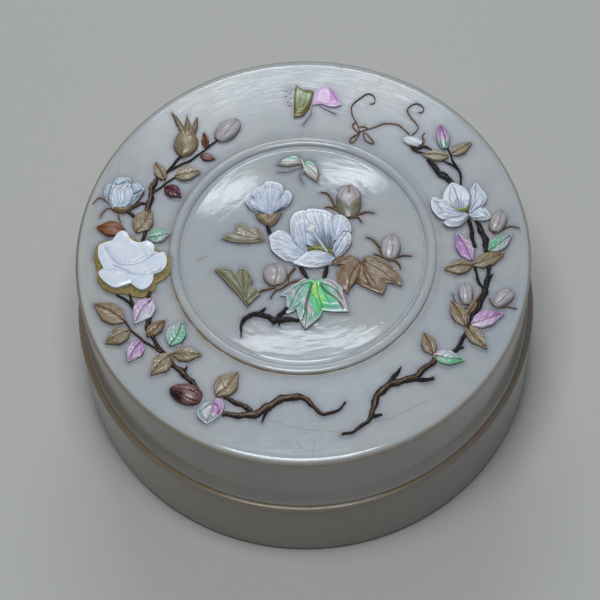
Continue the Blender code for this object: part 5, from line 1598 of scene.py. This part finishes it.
insect_green = polished("insect_green", (
    (0.0, (0.2, 0.14, 0.04)), (0.4, (0.28, 0.3, 0.12)), (0.75, (0.36, 0.46, 0.24)),
    (1.0, (0.56, 0.66, 0.46))), 0.28, grain=1.0, wander=0.6, cut=(0.16, 0.08, 0.03),
    edge=(0.25, 0.15, 0.05), edge_share=0.9, coat=0.2, glue_and_side_shade=(0.2, 0.12, 0.05))
cut_inlay("insect_body", "olive_horn", insect_green, (1.6, 34.2), (
    (0.4, 38.5, SHARP), (0.0, 36.3), (-0.2, 33.9), (-0.3, 30.9, SHARP), (1.3, 31.1), (2.3, 32.2),
    (3.1, 33.6), (3.9, 36.8, SHARP), (2.8, 37.2), (1.6, 37.4)),
    [(((1.9, 37.0), (2.6, 36.2), (3.4, 36.6)), 0.2, 0.05, 0.6)],
    play=lambda u, v, x, y: 0.3 + 0.6 * eased((y - 32.5) / 4), rings=30, sides=240,
    height=0.7)
wing_shell = polished("wing_shell", (
    (0.0, (0.5, 0.22, 0.62)), (0.4, (0.78, 0.4, 0.8)), (0.75, (0.92, 0.58, 0.88)),
    (1.0, (0.96, 0.8, 0.98))), 0.24, grain=1.3, wander=0.35, cut=(0.36, 0.16, 0.36),
    edge=(0.8, 0.5, 0.76), edge_share=0.3, coat=0.1, glue_and_side_shade=(0.34, 0.27, 0.33))
cut_inlay("insect_wing", "pink_shell", wing_shell, (6.3, 34.9), (
    (3.7, 33.6, SHARP), (4.0, 35.2), (4.5, 37.0), (5.6, 37.8), (6.6, 38.0), (7.7, 36.8),
    (8.5, 35.1), (9.3, 33.3, SHARP), (8.0, 32.9), (6.6, 33.1), (5.2, 33.7)),
    [(((7.3, 37.2), (7.4, 35.2), (6.9, 33.4)), 0.14, 0.08, 0.3)],
    play=lambda u, v, x, y: 0.85 - 0.6 * eased((x - 6.9) / 0.6) * eased((y - 33.2) / 1.4),
    rings=30, sides=240, height=0.45)
specks = []
for x, y, size in ((-1.5, 37.6, 0.3), (-0.8, 36.9, 0.22), (-1.7, 36.3, 0.26), (-0.7, 35.6, 0.2),
                   (-1.4, 34.9, 0.24), (-0.9, 34.0, 0.2), (-0.4, 37.9, 0.18)):
    form = bud_form((x, y - size), (x, y + size), size * 1.6, 0.1)
    specks.append(carve("speck", thin_blank(8, 6), form, play=0.6, lift=-0.22))
fitted(joined("pale_specks", specks), "green_shell", moth_shell)


# The dust and painted shadow round the inlay
# Years of dust and old glue have greyed the ivory in a soft band round each piece, and a
# painted contact shadow darkens the same band. It is marked on the lid by the distance from
# the nearest piece.

# How strong each band of dust and painted contact shadow is and how far it reaches
DUST_AND_SHADOW_BANDS = ((0.75, 0.5), (0.28, 1.5))
MOST_DUST_AND_SHADOW = 0.9
print_tree = KDTree(sum(len(spots) for spots in footprints))
for i, (x, y) in enumerate(np.vstack(footprints)):
    print_tree.insert((x, y, 0), i)
print_tree.balance()
dust_and_shadow = np.zeros(len(lid_spots))
for i, (x, y, z) in enumerate(lid_spots):
    if z > RIM_LEVEL - 0.2 and math.hypot(x, y) < FIELD_END:
        gap = print_tree.find((x, y, 0))[2]
        dust_and_shadow[i] = sum(depth * math.exp(-(gap / width) ** 2) for depth, width in DUST_AND_SHADOW_BANDS)
mark(lid, "dust_and_shadow", np.clip(dust_and_shadow, 0, MOST_DUST_AND_SHADOW))
mark(box, "dust_and_shadow", np.zeros(len(box.data.vertices)))


# The studio
# A pale painted floor, soft boxes of light above, behind and in front, and the camera at the
# photograph's angle. None of it belongs to the box.

FLOOR_SIZE = 6.0
FLOOR_PAINT = (0.6, 0.58, 0.54, 1)
ROOM_COLOUR = (0.8, 0.88, 1.0, 1)
ROOM_LIGHT = 0.07
LID_CENTRE = Vector((0, 0, RIM_LEVEL * MM))
LIGHT_DISTANCE = 0.9
COOL_LIGHT = (0.88, 0.94, 1.0)
# Lean in degrees from straight above to the right and to the back, width, depth and power
SOFTBOXES = {
    "key": (-2.0, -6.0, 0.34, 0.26, 4.1),
    "front_glint": (0.5, 18.0, 0.22, 0.018, 0.2),
    "left_glint": (-7.8, 34.6, 0.09, 0.04, 0.125),
    "right_glint": (5.8, 35.6, 0.08, 0.03, 0.1),
    "back_glow": (1.0, 44.5, 0.42, 0.07, 1.45),
    "rim_light": (-2.0, -24.0, 0.34, 0.08, 0.16),
}

bpy.ops.object.select_all(action="DESELECT")
bpy.ops.mesh.primitive_plane_add(size=FLOOR_SIZE)
floor = bpy.context.object
floor.name = "floor"
paint, paint_tree, paint_shader = new_material("floor_paint")
feed(paint_tree, paint_shader, {"Base Color": FLOOR_PAINT, "Roughness": 0.8})
floor.data.materials.append(paint)

world = bpy.context.scene.world or bpy.data.worlds.new("studio")
bpy.context.scene.world = world
world.use_nodes = True
backdrop = world.node_tree.nodes["Background"]
feed(world.node_tree, backdrop, {0: ROOM_COLOUR, 1: ROOM_LIGHT})

for name, (lean_x, lean_y, width, depth, power) in SOFTBOXES.items():
    way = Vector((math.tan(math.radians(lean_x)), math.tan(math.radians(lean_y)), 1)).normalized()
    bpy.ops.object.light_add(type="AREA", location=LID_CENTRE + way * LIGHT_DISTANCE)
    light = bpy.context.object
    light.name = name
    light.data.shape = "RECTANGLE"
    light.data.size = width
    light.data.size_y = depth
    light.data.energy = power
    light.data.color = COOL_LIGHT
    light.rotation_euler = (-way).to_track_quat("-Z", "Y").to_euler()

VIEW_HEIGHT = 62.54
VIEW_ROLL = 3.03
VIEW_DISTANCE = 0.9
SENSOR_WIDTH = 36.0
LENS_LENGTH = 273.7
FRAME_SHIFT = (-0.592 * MM, -8.44 * MM)
tilt = math.radians(VIEW_HEIGHT)
roll = math.radians(VIEW_ROLL)
back = Vector((0, -math.cos(tilt), math.sin(tilt)))
flat_right = Vector((1, 0, 0))
flat_up = Vector((0, math.sin(tilt), math.cos(tilt)))
right = flat_right * math.cos(roll) - flat_up * math.sin(roll)
up = flat_right * math.sin(roll) + flat_up * math.cos(roll)
stand = LID_CENTRE + back * VIEW_DISTANCE
target = LID_CENTRE + right * FRAME_SHIFT[0] + up * FRAME_SHIFT[1]
back = (stand - target).normalized()
up = back.cross(right).normalized()
right = up.cross(back).normalized()
bpy.ops.object.camera_add()
camera = bpy.context.object
camera.matrix_world = Matrix((
    (right.x, up.x, back.x, stand.x), (right.y, up.y, back.y, stand.y),
    (right.z, up.z, back.z, stand.z), (0, 0, 0, 1)))
camera.data.sensor_width = SENSOR_WIDTH
camera.data.lens = LENS_LENGTH
camera.data.clip_start = 0.05
camera.data.clip_end = 30.0
bpy.context.scene.camera = camera
bpy.context.scene.view_settings.view_transform = "Standard"

for blank in blanks.values():
    bpy.data.objects.remove(blank)
